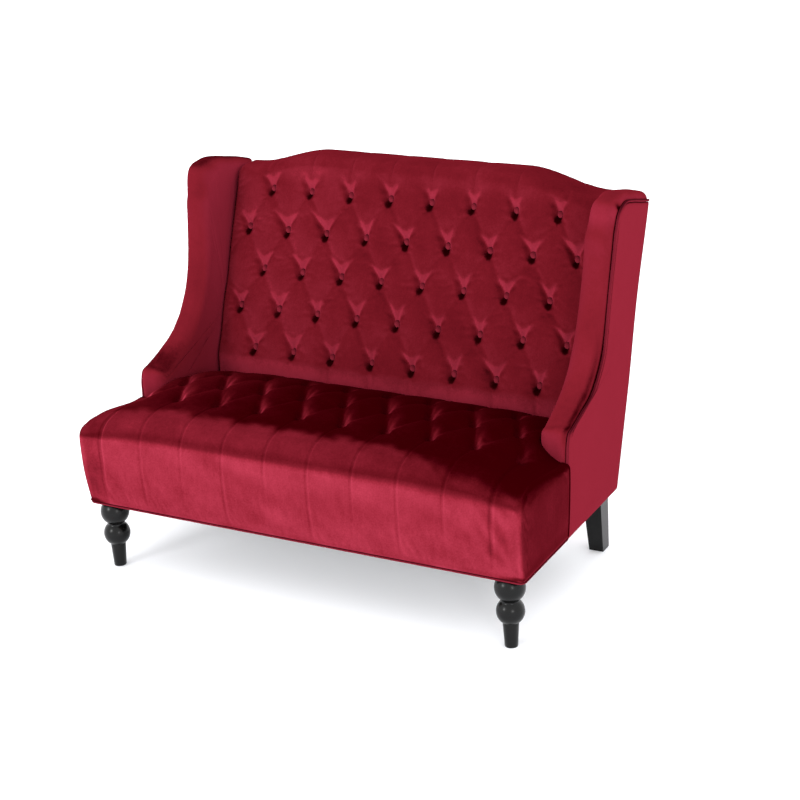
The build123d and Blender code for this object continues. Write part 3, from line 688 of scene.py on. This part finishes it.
held = held | (np.abs(seat[..., 1] - TACK_Y) < 1.0) | (np.abs(np.abs(seat[..., 0]) - TACK_X) < 1.0)
held = held | (seat[..., 2] < 203.0) | ((np.abs(seat[..., 0]) > 540.0) & (seat[..., 1] > -158.0))
seat_pad = cover("tufted_seat", seat, nap_and_painted_light, held)
stuffed(seat_pad)

seat_velvet = velvet("Crimson cotton velvet, seat",
                     [(-0.4, "9e3546"), (-0.2, "8a2838"), (0.0, "741b28"), (0.13, "62141f"), (0.32, "520d16"),
                      (0.52, "41060c"), (0.74, "300105"), (0.9, "290002")])
standing_for(seat_pad, "seat_pad", seat_velvet)

# ---- back pad ---------------------------------------------------------------
# Foam on the raked back frame under one velvet cover, buttoned through in
# diamonds. The cover rolls over the camel shaped top rail and is tacked behind.

ROW_Z = [463.3, 569.3, 672.2, 778.4, 883.4]
BACK_FOOT = 344.0
BACK_EDGE = 541.0
PAD_FRONT, PAD_REAR = 25.0, 49.0
REAR_SLOPE = 0.287


def camel(x):
    """Height of the crest: level shoulders, and a swept rise to the middle."""
    t = np.clip((535.0 - np.abs(x)) / 235.0, 0, 1)
    return 936.0 + 43.5 * (3 * t * t - 2 * t ** 3)


def on_plane(z, height):
    """(y, z) of a point over the raked plane that the buttons lie on."""
    return PLANE_Y + SLOPE * z - height * math.cos(RAKE), z + height * math.sin(RAKE)


back_x = np.arange(-142, 143) / 16 * HALF_PITCH
back_x = np.concatenate([[-547.6, -546.4], back_x[np.abs(back_x) < 544.0], [546.4, 547.6]])
across, share = np.meshgrid(back_x, np.linspace(0, 1, 184))
level = BACK_FOOT + (camel(across) - 34.0 - BACK_FOOT) * share
at_row = np.interp(level, ROW_Z, [0, 1, 2, 3, 4])
at_row = np.where(level < ROW_Z[0], (level - ROW_Z[0]) / 106.0, at_row)
at_row = np.where(level > ROW_Z[4], 4 + (level - ROW_Z[4]) / 105.0, at_row)
centre = len(back_x) // 2
along = level / math.cos(RAKE)
along = np.interp(at_row, at_row[:, centre], along[:, centre])
deep, nap_and_painted_light = tufting(across, along, across / HALF_PITCH, at_row, 4, (7, 8), 3.2, 21.8, 45.0, 11)
rolled = smooth((-at_row - 0.22) / 0.62)
tuck = np.clip((np.abs(across) - 540.0) / 8.0, 0, 1)
tuck = 9.0 * (1 - np.sqrt(np.maximum(1 - tuck ** 2, 0)))
from_groove = (across / HALF_PITCH - 1) / 2
groove = np.exp(-((from_groove - np.rint(from_groove)) * PITCH / 3.4) ** 2)
deep = deep + 2.0 * groove * smooth((at_row - 4.45) / 0.15)
height = PAD_FRONT - 17.0 * rolled - deep - tuck + unevenness(across, level, 4, 0.9)
face = np.stack([across, *on_plane(level, height)], axis=2)

# over the crest to the hem behind, then down the flat rear and back to the start.
# Over the crest the velvet's painted shade is offset so that its tone hardly changes with the curve, and its
# right slope is painted darker as shade
# painted light on the face: the tufts' highlights and pocket shadows toned down, painted shade in the grooves
# by the wings, and painted lighter on the roll at its foot, on the left and towards the top
gap = smooth((np.abs(across) - BACK_EDGE) / 6.0)
nap_and_painted_light = nap_and_painted_light * np.where(nap_and_painted_light > 0, 0.30, 0.55) + 0.10 * rolled - 0.8 * gap
nap_and_painted_light = nap_and_painted_light + 0.10 * smooth((-across - 60.0) / 300.0) + 0.12 * smooth((at_row - 4.15) / 0.45)
held = (deep > 11.0) | (np.abs(across) > BACK_EDGE) | (level < 362.0)
CREST_STEPS, BEND_STEPS, HEM_STEPS = 19, 9, 9
BEND = 34.0
DROP = 17.0
loops = [face]
crest = camel(back_x)
rear_z = crest - DROP
rear_y = 431.8 - REAR_SLOPE * (960.9 - rear_z)
last = face[-1]
crown = np.stack([back_x, rear_y - BEND, crest], axis=1)
reach = np.linalg.norm(crown - last, axis=1, keepdims=True) * 0.52
c1 = last + np.array([0.0, SLOPE, 1.0]) / math.hypot(SLOPE, 1) * reach * 0.75
c2 = crown - np.array([0.0, 1.0, 0.0]) * reach
for t in np.linspace(0, 1, CREST_STEPS + 1)[1:]:
    point = (1 - t) ** 3 * last + 3 * t * (1 - t) ** 2 * c1 + 3 * t * t * (1 - t) * c2 + t ** 3 * crown
    point[:, 0] = back_x
    point[:, 2] -= 1.6 * groove[-1] * (1 - t)
    loops.append(point[None])
for t in np.linspace(0, 1, BEND_STEPS + 1)[1:]:
    a = t * math.pi / 2
    y = rear_y - BEND + BEND * math.sin(a)
    loops.append(np.stack([back_x, y, crest - DROP * (1 - math.cos(a))], axis=1)[None])
over = np.concatenate(loops)
path = np.gradient(over, axis=0)
upward = (path[..., 1] / np.maximum(np.linalg.norm(path[..., 1:], axis=2), 1e-9))[len(face):]
# painted shade: the right slope of the crest is painted darker
shaded = smooth((back_x - 240.0) / 190.0) * (1 - smooth((back_x - 520.0) / 20.0))
fades = np.concatenate([np.ones(CREST_STEPS), 1 - np.linspace(0, 1, BEND_STEPS + 1)[1:]])[:, None]
crest_painted_light = UPWARD * upward - 0.18 - 0.12 * smooth(upward) - 0.12 * (shaded * fades)
hem = crest - 62.0
for share in np.linspace(0, 1, HEM_STEPS + 1)[1:]:
    z = rear_z + (hem - rear_z) * share
    loops.append(np.stack([back_x, rear_y + REAR_SLOPE * (z - rear_z), z], axis=1)[None])
loops.append(np.stack([back_x, PLANE_Y + SLOPE * hem + PAD_REAR / math.cos(RAKE), hem], axis=1)[None])
low_y, low_z = on_plane(342.5, -PAD_REAR)
loops.append(np.stack([back_x, np.full_like(back_x, low_y), np.full_like(back_x, low_z)], axis=1)[None])
loops.append(face[:1])
back_grid = np.concatenate(loops)
unseen = np.zeros((len(back_grid) - len(over), len(back_x)))
nap_and_painted_light = np.concatenate([nap_and_painted_light, crest_painted_light, unseen])
held = np.concatenate([held, np.ones((len(back_grid) - len(held), len(back_x)), bool)])
held[len(face):len(over) - 2] = np.abs(back_x) > BACK_EDGE
back_pad = cover("tufted_back", back_grid, nap_and_painted_light, held)
stuffed(back_pad)
back_velvet = velvet("Crimson cotton velvet, back",
                     [(-0.35, "8a2636"), (-0.05, "7d1f2d"), (0.1, "681722"), (0.28, "5b1019"),
                      (0.45, "500c14"), (0.7, "2c0407"), (0.95, "1a0001")], sideways=0.14)
standing_for(back_pad, "back_pad", back_velvet)

# ---- covered buttons ----------------------------------------------------------
# Pressed metal shells under a disc of the same velvet, pulled down on cord.
# One is turned ring by ring from a disc and then set at each tuft of the back.

button_rings = [(10.4, 1.2), (10.5, 3.0), (9.9, 4.6), (8.3, 6.2), (5.6, 7.3), (2.6, 7.9), (0.4, 8.0)]
BUTTON_LIFT = 2.4


def turned(name, start_radius, rings, sides):
    """Turned like work on a lathe: a disc is extruded up and sized ring by ring."""
    bpy.ops.object.select_all(action="DESELECT")
    bpy.ops.mesh.primitive_circle_add(vertices=sides, radius=start_radius / 1000, fill_type="NGON")
    piece = bpy.context.object
    piece.name = name
    piece.data.name = name
    bpy.ops.object.mode_set(mode="EDIT")
    bpy.ops.mesh.select_all(action="SELECT")
    radius, height = start_radius, 0.0
    for next_radius, next_height in rings:
        rise = (next_height - height) / 1000
        bpy.ops.mesh.extrude_region_move(TRANSFORM_OT_translate={"value": (0, 0, rise)})
        k = next_radius / radius
        bpy.ops.transform.resize(value=(k, k, 1), center_override=(0, 0, next_height / 1000))
        radius, height = next_radius, next_height
    bpy.ops.mesh.select_all(action="SELECT")
    bpy.ops.mesh.normals_make_consistent(inside=False)
    bpy.ops.object.mode_set(mode="OBJECT")
    bpy.ops.object.shade_smooth()
    return piece


button_velvet = velvet("Crimson cotton velvet, buttons",
                       [(-0.2, "7c2431"), (0.2, "6c1c28"), (0.5, "54131d"), (0.95, "2c050a")], speckle=0.5)
pattern = turned("back_button", 9.6, button_rings, 20)
pattern.data.materials.append(button_velvet)
chance = np.random.default_rng(5)
covered = []
for row, z in enumerate(ROW_Z):
    reach = 8 if row % 2 else 7
    for step in range(-reach, reach + 1, 2):
        button = pattern.copy()
        button.data = pattern.data.copy()
        bpy.context.collection.objects.link(button)
        y, up = on_plane(z, BUTTON_LIFT)
        tilt = math.radians(90) - RAKE + chance.uniform(-0.16, 0.10)
        place = Matrix.Translation((step * HALF_PITCH / 1000, y / 1000, up / 1000))
        twist = Matrix.Rotation(chance.uniform(-0.12, 0.12), 4, "Z")
        button.data.transform(place @ twist @ Matrix.Rotation(tilt, 4, "X"))
        covered.append(button)
bpy.data.objects.remove(pattern)
standing_for(joined(covered, "covered_buttons"), "back_buttons")

# ---- wings ----------------------------------------------------------------------
# Each wing is a board padded on its inner face. The padding rolls over the
# front and top as a rounded band and meets the flat outer panel at a piped seam.

PANEL_FOOT, PAD_FOOT = 182.0, 349.0
SEAM = [(-137, PANEL_FOOT), (-135, 400), (-132, 438), (-123, 460), (-98, 468), (-43, 486), (23, 508),
        (69, 545), (104, 588), (125, 650), (139, 714), (151, 774), (164, 837), (177, 895), (194, 934),
        (231, 950), (291, 942), (345, 928), (412.7, 912)]
CROWN = [(-137, PANEL_FOOT), (-141, 405), (-145, 452), (-139, 470), (-118, 477), (-54, 504), (10, 544),
         (48, 584), (84, 647), (106, 705), (121, 765), (130, 830), (134, 895), (138, 945), (153, 970),
         (200, 979), (310, 962), (355, 952), (419.1, 933)]
REAR_Y = 151
REAR_STEPS, FOOT_STEPS = 90, 60


def wing_lean(z):
    """The wings lean outward, draw in a little at the waist and flare at the top."""
    waist = np.sin(np.clip((z - 430.0) / 480.0, 0, 1) * math.pi) ** 2
    return 0.0127 * (z - PANEL_FOOT) - 3.5 * waist + 2.5 * smooth((z - 880.0) / 80.0)


def flowing(points, counts):
    """A smooth line through points, with so many steps from each to the next."""
    points = np.array(points, float)
    gaps = np.linalg.norm(np.diff(points, axis=0), axis=1)
    slopes = np.diff(points, axis=0) / gaps[:, None]
    tangents = np.vstack([slopes[:1], (slopes[:-1] * gaps[1:, None] + slopes[1:] * gaps[:-1, None])
                          / (gaps[1:] + gaps[:-1])[:, None], slopes[-1:]])
    out = []
    for i, count in enumerate(counts):
        for t in np.arange(count) / count:
            h = ((1 + 2 * t) * (1 - t) ** 2, t * (1 - t) ** 2, t * t * (3 - 2 * t), t * t * (t - 1))
            out.append(h[0] * points[i] + h[1] * gaps[i] * tangents[i]
                       + h[2] * points[i + 1] + h[3] * gaps[i] * tangents[i + 1])
    return np.array(out + [points[-1]])


def ring_round(line, rear, foot, steps_rear=REAR_STEPS, steps_foot=FOOT_STEPS):
    """Closes a side view along the raked rear edge, which stands rear mm in front of
    the back's rear face, and along the foot."""
    line = np.vstack([[line[0, 0], foot], line])
    top = np.array([REAR_Y + REAR_SLOPE * line[-1, 1] - rear, line[-1, 1]])
    line[-1] = top
    low = np.array([REAR_Y + REAR_SLOPE * foot - rear, foot])
    edge = top + (low - top) * (np.arange(1, steps_rear + 1) / steps_rear)[:, None]
    base = low + (line[0] - low) * (np.arange(1, steps_foot) / steps_foot)[:, None]
    return np.vstack([line, edge, base])


def inward(ring, amount, rounds=12):
    """A closed ring moved inward by an amount, with sharp turns eased."""
    if amount == 0:
        return ring
    ahead, behind = np.roll(ring, -1, axis=0), np.roll(ring, 1, axis=0)
    along = ahead - behind
    along /= np.linalg.norm(along, axis=1, keepdims=True)
    moved = ring + amount * np.stack([along[:, 1], -along[:, 0]], axis=1)
    for _ in range(rounds):
        moved = 0.5 * moved + 0.25 * (np.roll(moved, 1, axis=0) + np.roll(moved, -1, axis=0))
    return moved


STEP = 5.0
spans = np.linalg.norm(np.diff(np.array(SEAM, float), axis=0), axis=1)
counts = np.maximum(2, np.rint(spans / STEP)).astype(int)
seam_line = flowing(SEAM, counts)
crown_line = flowing(CROWN, counts)
keep = crown_line[:, 1] > PAD_FOOT
crown_ring = ring_round(crown_line[keep], 13.0, PAD_FOOT)
seam_ring = ring_round(seam_line[keep], 13.0, PAD_FOOT)
heart = np.array([190.0, 560.0])


def station(ring, x, side):
    """A ring of (y, z) points set at x on a wing that leans outward."""
    x = x + wing_lean(ring[:, 1])
    return np.stack([side * x, ring[:, 0], ring[:, 1]], axis=1)


# from the middle of the inner face outward, over the band to the seam, and back in
REACH_X = 38.5
wing_rings = []
corner = smooth((crown_ring[:, 1] - 870.0) / 70.0) * smooth((260.0 - crown_ring[:, 0]) / 90.0)
rounded = crown_ring + np.stack([12.0 * corner, -5.0 * corner], axis=1)
core = inward(rounded, TURN, 24)
core = core + np.stack([22.0 * corner, -13.0 * corner], axis=1)
to_rear = smooth((crown_ring[:, :1] - 120.0) / 120.0) * smooth((crown_ring[:, 1:] - 860.0) / 50.0)
for k in (0.0, 0.12, 0.25, 0.38, 0.5, 0.62, 0.72, 0.8, 0.87, 0.93, 0.97):
    wing_rings.append((heart + (core - heart) * k, BOARD - 3.0 * (1 - k ** 2)))
for a in np.linspace(0, 1, 11):
    a = a * math.pi / 2
    wing_rings.append((core + (rounded - core) * math.sin(a), ROUND_X - (ROUND_X - BOARD) * math.cos(a)))
inner_count = len(wing_rings)
for u in np.linspace(0, 1, 14)[1:]:
    ring = rounded + (seam_ring - rounded) * 0.96 * u ** (2.3 - 0.7 * to_rear)
    ring = inward(ring, -3.5 * math.sin(math.pi * u) ** 2, 2)
    wing_rings.append((ring, ROUND_X + REACH_X * math.sin(u * math.pi / 2) ** 0.92))
band_count = len(wing_rings)
for amount, x in ((3.0, 622.0), (8.0, 621.0), (17.0, 618.0), (19.5, 600.0), (19.5, 583.5)):
    wing_rings.append((inward(seam_ring, amount, 6), x))
inner_back = inward(seam_ring, 19.5, 6)
for k in (0.7, 0.35, 0.0):
    wing_rings.append((heart + (inner_back - heart) * k, 583.5))

wing_velvet = velvet("Crimson cotton velvet, wings",
                     [(-0.3, "7b1f2e"), (0.0, "701a27"), (0.25, "681620"), (0.5, "5c121b"),
                      (0.75, "3c060c"), (0.95, "1f0001")], sideways=0.16)
panel_velvet = velvet("Crimson cotton velvet, outer panels",
                      [(0.0, "7c2230"), (0.4, "751c29"), (0.7, "6e1925"), (1.2, "2c060b")], speckle=0.6)

# the panel stands a cord's width inside the seam, and runs out to the rear and foot
CORD_WIDTH = 4.6
PANEL_REAR_STEPS, PANEL_FOOT_STEPS = 100, 70
PANEL_BACK = 603.0
panel_rings = []
whole = ring_round(seam_line[1:], 0.5, PANEL_FOOT, PANEL_REAR_STEPS, PANEL_FOOT_STEPS)
sewn = np.zeros(len(whole))
sewn[4:len(whole) - PANEL_REAR_STEPS - PANEL_FOOT_STEPS + 1] = 1.0
for _ in range(3):
    sewn = (np.roll(sewn, 1) + sewn + np.roll(sewn, -1)) / 3
outer = whole + (inward(whole, CORD_WIDTH, 4) - whole) * (0.1 + 0.9 * sewn[:, None])
for k, x in ((0.0, 628.6), (0.2, 628.5), (0.4, 628.3), (0.6, 628.1), (0.75, 627.9), (0.86, 627.6),
             (0.93, 627.2)):
    panel_rings.append((heart + (outer - heart) * k, x))
# as far as this ring the cover is seen, and the rest is turned in
panel_face = len(panel_rings) + 4
for amount, x in ((9.0, 626.9), (5.0, 626.4), (2.0, 625.4), (0.5, 624.0), (0.0, 622.0), (0.3, 621.0)):
    panel_rings.append((inward(outer, amount, int(amount)), x))
back_ring = outer + (inward(whole, 20.5, 4) - outer) * sewn[:, None]
panel_rings.append((back_ring, 620.6))
for k in (1.0, 0.6, 0.0):
    panel_rings.append((heart + (back_ring - heart) * k, PANEL_BACK))


def wing_painted_light(y, z, share, side):
    """Painted light and shade on a wing. The right wing is painted lighter over its
    top and in its knee, the left one on its inner face, with painted shade on its band and front, and a
    painted shadow low at its front by the seat."""
    nap_and_painted_light = (0.45 if side > 0 else 0.04) * smooth((z - 890.0) / 50.0)
    knee = smooth((z - 425.0) / 50.0) * (1 - smooth((z - 560.0) / 120.0))
    if side > 0:
        return nap_and_painted_light + knee * (0.34 - 0.62 * smooth((share - 0.35) / 0.35))
    band = smooth((np.arange(len(z)) - inner_count + 10.0) / 8.0)[:, None]
    nap_and_painted_light = nap_and_painted_light + 0.07 + 0.42 * (1 - band) * smooth((y - 30.0) / 160.0)
    nap_and_painted_light = nap_and_painted_light + 0.22 * knee * band - 0.18 * band * smooth((z - 520.0) / 60.0)
    nap_and_painted_light = nap_and_painted_light + 0.20 * band * smooth((z - 925.0) / 30.0)
    return nap_and_painted_light - 0.20 * np.exp(-(np.hypot(y + 100.0, z - 493.0) / 44.0) ** 2)


# where the seam turns tightest at the top, the cloth is drawn into it in a pucker, painted darker as shade in
# the fold
TIGHT_TURN = (206, 944)
tight = int(np.argmin(np.hypot(*(seam_ring - TIGHT_TURN).T)))
for side, name in ((1, "right"), (-1, "left")):
    grid = np.stack([station(r, x, side) for r, x in wing_rings])
    grid = np.concatenate([grid, grid[:, :1]], axis=1)
    share = np.clip((np.arange(len(grid)) - inner_count) / (band_count - inner_count), 0, 1)[:, None]
    nap_and_painted_light = wing_painted_light(grid[..., 1], grid[..., 2], share, side)
    from_tight = np.abs(np.arange(grid.shape[1]) - tight) * STEP
    pucker = np.exp(-(from_tight / 11.0) ** 2) * smooth((share - 0.4) / 0.5)
    to_heart = heart - grid[..., 1:]
    to_heart /= np.maximum(np.linalg.norm(to_heart, axis=2, keepdims=True), 1.0)
    in_band = (np.arange(len(grid)) < band_count)[:, None, None]
    grid[..., 1:] += 6.0 * pucker[..., None] * to_heart * in_band
    # painted shade in the pucker
    nap_and_painted_light = nap_and_painted_light - (1.3 if side > 0 else 0.3) * pucker
    # painted shade: the cloth turned in at the seam is painted darker
    nap_and_painted_light[band_count - 1:] = -1.0
    nap_and_painted_light[band_count - 2] -= 0.15
    held = np.zeros(grid.shape[:2], bool)
    held[band_count - 2:] = True
    held[:, -REAR_STEPS - FOOT_STEPS - 1:] = True
    held = held | (grid[..., 2] < 440.0) | (grid[..., 1] > PLANE_Y + SLOPE * grid[..., 2] - 30.0)
    pad = cover(name + "_wing_padding", grid, nap_and_painted_light, held)
    stuffed(pad)
    standing_for(pad, name + "_wing_pad", wing_velvet)
    grid = np.stack([station(r, x, side) for r, x in panel_rings])
    grid = np.concatenate([grid, grid[:, :1]], axis=1)
    nap_and_painted_light = np.zeros(grid.shape[:2])
    # painted shade: the cloth turned in at the seam is painted darker
    nap_and_painted_light[panel_face:] = -1.0
    panel = cover(name + "_outer_cover", grid, nap_and_painted_light)
    standing_for(panel, name + "_outer_panel", panel_velvet)

# ---- piping ------------------------------------------------------------------------
# Cord in a strip of the same velvet, sewn into the seam round each outer panel
# and along the foot of the seat.


def piping(name, points, radius, node):
    """A round cord along a smooth line of points, in mm."""
    line = bpy.data.curves.new(name, "CURVE")
    line.dimensions = "3D"
    line.bevel_depth = radius / 1000
    line.bevel_resolution = 3
    line.use_fill_caps = True
    spline = line.splines.new("POLY")
    spline.points.add(len(points) - 1)
    for dot, place in zip(spline.points, points):
        dot.co = (*(np.array(place) / 1000), 1.0)
    cord = bpy.data.objects.new(name, line)
    bpy.context.collection.objects.link(cord)
    bpy.ops.object.select_all(action="DESELECT")
    cord.select_set(True)
    bpy.context.view_layer.objects.active = cord
    bpy.ops.object.convert(target="MESH")
    bpy.ops.object.shade_smooth()
    standing_for(bpy.context.object, node, piping_velvet)


piping_velvet = velvet("Crimson cotton velvet, piping",
                       [(-0.3, "781f2d"), (0.1, "6c1b28"), (0.5, "5a141f"), (0.9, "380810")], speckle=0.5)
for side, name in ((1, "right"), (-1, "left")):
    line = seam_line[(seam_line[:, 1] > 186.0) & (seam_line[:, 0] < 405.0)]
    points = [(side * (624.6 + wing_lean(z)), y, z) for y, z in line]
    piping(name + "_wing_piping", points, 3.4, name + "_wing_welt")

CORD_BEND = 14
quarter = [(CORD_BEND * math.cos(a), CORD_BEND * math.sin(a)) for a in np.linspace(0, math.pi / 2, 7)]
x, y, z = 627.5 - CORD_BEND, -408.6 + CORD_BEND, 189.0
hem_line = [(-x - CORD_BEND, -142.5, z)]
hem_line += [(-x - c, y - s, z) for c, s in quarter]
hem_line += [(x + c, y - s, z) for c, s in reversed(quarter)]
hem_line += [(x + CORD_BEND, y, z), (x + CORD_BEND, -142.5, z)]
piping("seat_foot_piping", hem_line, 3.0, "seat_bottom_welt")

# ---- outside back --------------------------------------------------------------------
# A thin board padded with wadding under velvet, tacked over the rear of the frame
# and the wings. Its top follows the hem of the back and steps up at the wings.

STEP_X = 561.0
REAR_HALF = 602.0
REAR_FOOT = 182.5
THICKNESS = 11.5
rear_x = np.concatenate([np.linspace(-REAR_HALF, -565, 8), [-562.5, -559.5], np.linspace(-552, 552, 93),
                         [559.5, 562.5], np.linspace(565, REAR_HALF, 8)])
rear_top = np.where(np.abs(rear_x) > STEP_X, 905.0, camel(rear_x) - 67.0)
shares = np.concatenate([[0.0, 0.004, 0.012], np.linspace(0.025, 0.975, 60), [0.988, 0.996, 1.0]])
across, share = np.meshgrid(rear_x, shares)
level = REAR_FOOT + (rear_top - REAR_FOOT) * share
from_edge = np.minimum(np.minimum(REAR_HALF - np.abs(across), level - REAR_FOOT), rear_top - level)
wadding = 2.2 * smooth(from_edge / 60.0) - 2.6 * (1 - smooth(from_edge / 6.0))
wadding = wadding + unevenness(across, level, 14, 0.5)
across = across * (1 + wing_lean(level) / REAR_HALF)
board_y = REAR_Y + REAR_SLOPE * level
outer_face = np.stack([across, board_y + wadding, level], axis=2)
inner_face = np.stack([across, board_y - THICKNESS, level], axis=2)[::-1]
rear_grid = np.concatenate([outer_face, inner_face, outer_face[:1]])
outside_back = cover("outside_back_cover", rear_grid, np.zeros(rear_grid.shape[:2]))
standing_for(outside_back, "outside_back", panel_velvet)

# ---- legs ------------------------------------------------------------------------------
# Beech, turned at the front and sawn square at the rear, sprayed with black
# semi-gloss lacquer.

lacquer, lacquer_shader = new_material("Black semi-gloss lacquer on beech")
lacquer_place = add_node(lacquer, "TexCoord").outputs["Object"]
pores = add_node(lacquer, "Mapping", {"Scale": (260.0, 260.0, 30.0)}, {"Vector": lacquer_place})
pore = add_node(lacquer, "TexNoise", {"Scale": 1.0, "Detail": 3.0}, {"Vector": pores})
pore_bump = add_node(lacquer, "Bump", {"Strength": 0.08, "Distance": 0.0004}, {"Height": pore.outputs["Fac"]})
gloss = add_node(lacquer, "MapRange", {"To Min": 0.20, "To Max": 0.30}, {"Value": pore.outputs["Fac"]})
wire(lacquer, lacquer_shader, {"Normal": pore_bump.outputs["Normal"], "Roughness": gloss.outputs["Result"]})
lacquer_shader.inputs["Base Color"].default_value = linear("060606")
lacquer_shader.inputs["Specular IOR Level"].default_value = 0.2


def ball(radius, centre, low, high):
    """(radius, z) rings of a turned ball with its middle at a height, between two angles."""
    return [(radius * math.cos(a), centre + radius * math.sin(a)) for a in np.linspace(low, high, 18)]


LOWER_BALL, UPPER_BALL = 35.3, 38.4
NECK = 22.0
rings = [(16.2, 0.6), (16.7, 2.2), (17.5, 20.0), (19.6, 55.0), (20.2, 64.5)]
rings += ball(LOWER_BALL, 94.0, -math.asin(29.0 / LOWER_BALL), math.acos(NECK / LOWER_BALL))
rings += ball(UPPER_BALL, 157.0, -math.acos(NECK / UPPER_BALL), math.asin(29.0 / UPPER_BALL))
rings.append((4.0, 186.0))
for side, name in ((1, "right"), (-1, "left")):
    leg = turned(name + "_turned_leg", 14.6, rings, 48)
    leg.data.transform(Matrix.Translation((side * 0.577, -0.375, 0)))
    standing_for(leg, "front_" + name + "_leg", lacquer)
    finish_node("rear_" + name + "_leg", lacquer)

# ---- studio ---------------------------------------------------------------------------
# A plain white floor in a white room, with a soft light in front on the left and a
# weaker one on the right.

bpy.ops.mesh.primitive_plane_add(size=40.0, location=(0, 0, -0.0005))
floor = bpy.context.object
floor.name = "studio_floor"
paint, paint_shader = new_material("White studio paint")
paint_shader.inputs["Base Color"].default_value = linear("eff1f5")
paint_shader.inputs["Roughness"].default_value = 0.9
paint_shader.inputs["Emission Color"].default_value = linear("ffffff")
paint_shader.inputs["Emission Strength"].default_value = 0.155
floor.data.materials.append(paint)

world = bpy.data.worlds.new("White studio")
world.use_nodes = True
world.node_tree.nodes["Background"].inputs[0].default_value = linear("ffffff")
world.node_tree.nodes["Background"].inputs[1].default_value = 1.8
bpy.context.scene.world = world


def soft_light(name, place, target, size, power):
    """A square soft light, size metres wide, turned to its target."""
    lamp = bpy.data.lights.new(name, "AREA")
    lamp.size = size
    lamp.energy = power
    light = bpy.data.objects.new(name, lamp)
    light.location = place
    light.rotation_euler = (Vector(target) - Vector(place)).to_track_quat("-Z", "Y").to_euler()
    bpy.context.collection.objects.link(light)


soft_light("key_light", (-2.2, -4.4, 2.4), (0, 0, 0.5), 1.2, 80.0)
soft_light("fill_light", (3.4, -3.4, 1.6), (0, 0, 0.4), 0.9, 30.0)

azimuth, elevation, tilt = (math.radians(a) for a in (28.5, 20.0, -2.653))
back_to = Vector((math.sin(azimuth) * math.cos(elevation), -math.cos(azimuth) * math.cos(elevation),
                  math.sin(elevation)))
level_right = (-back_to).cross(Vector((0, 0, 1))).normalized()
level_up = level_right.cross(-back_to)
right = math.cos(tilt) * level_right + math.sin(tilt) * level_up
up = -math.sin(tilt) * level_right + math.cos(tilt) * level_up
lens = bpy.data.cameras.new("camera")
lens.sensor_width = 36.0
lens.lens = 82.62
lens.shift_x = -0.0004
lens.shift_y = -0.0434
camera = bpy.data.objects.new("camera", lens)
bpy.context.collection.objects.link(camera)
DISTANCE = 5.0028
seen_from = Vector((0, 0.1918, 0.45)) + back_to * DISTANCE
camera.matrix_world = Matrix.Translation(seen_from) @ Matrix((right, up, back_to)).transposed().to_4x4()
bpy.context.scene.camera = camera
bpy.context.scene.view_settings.view_transform = "Standard"
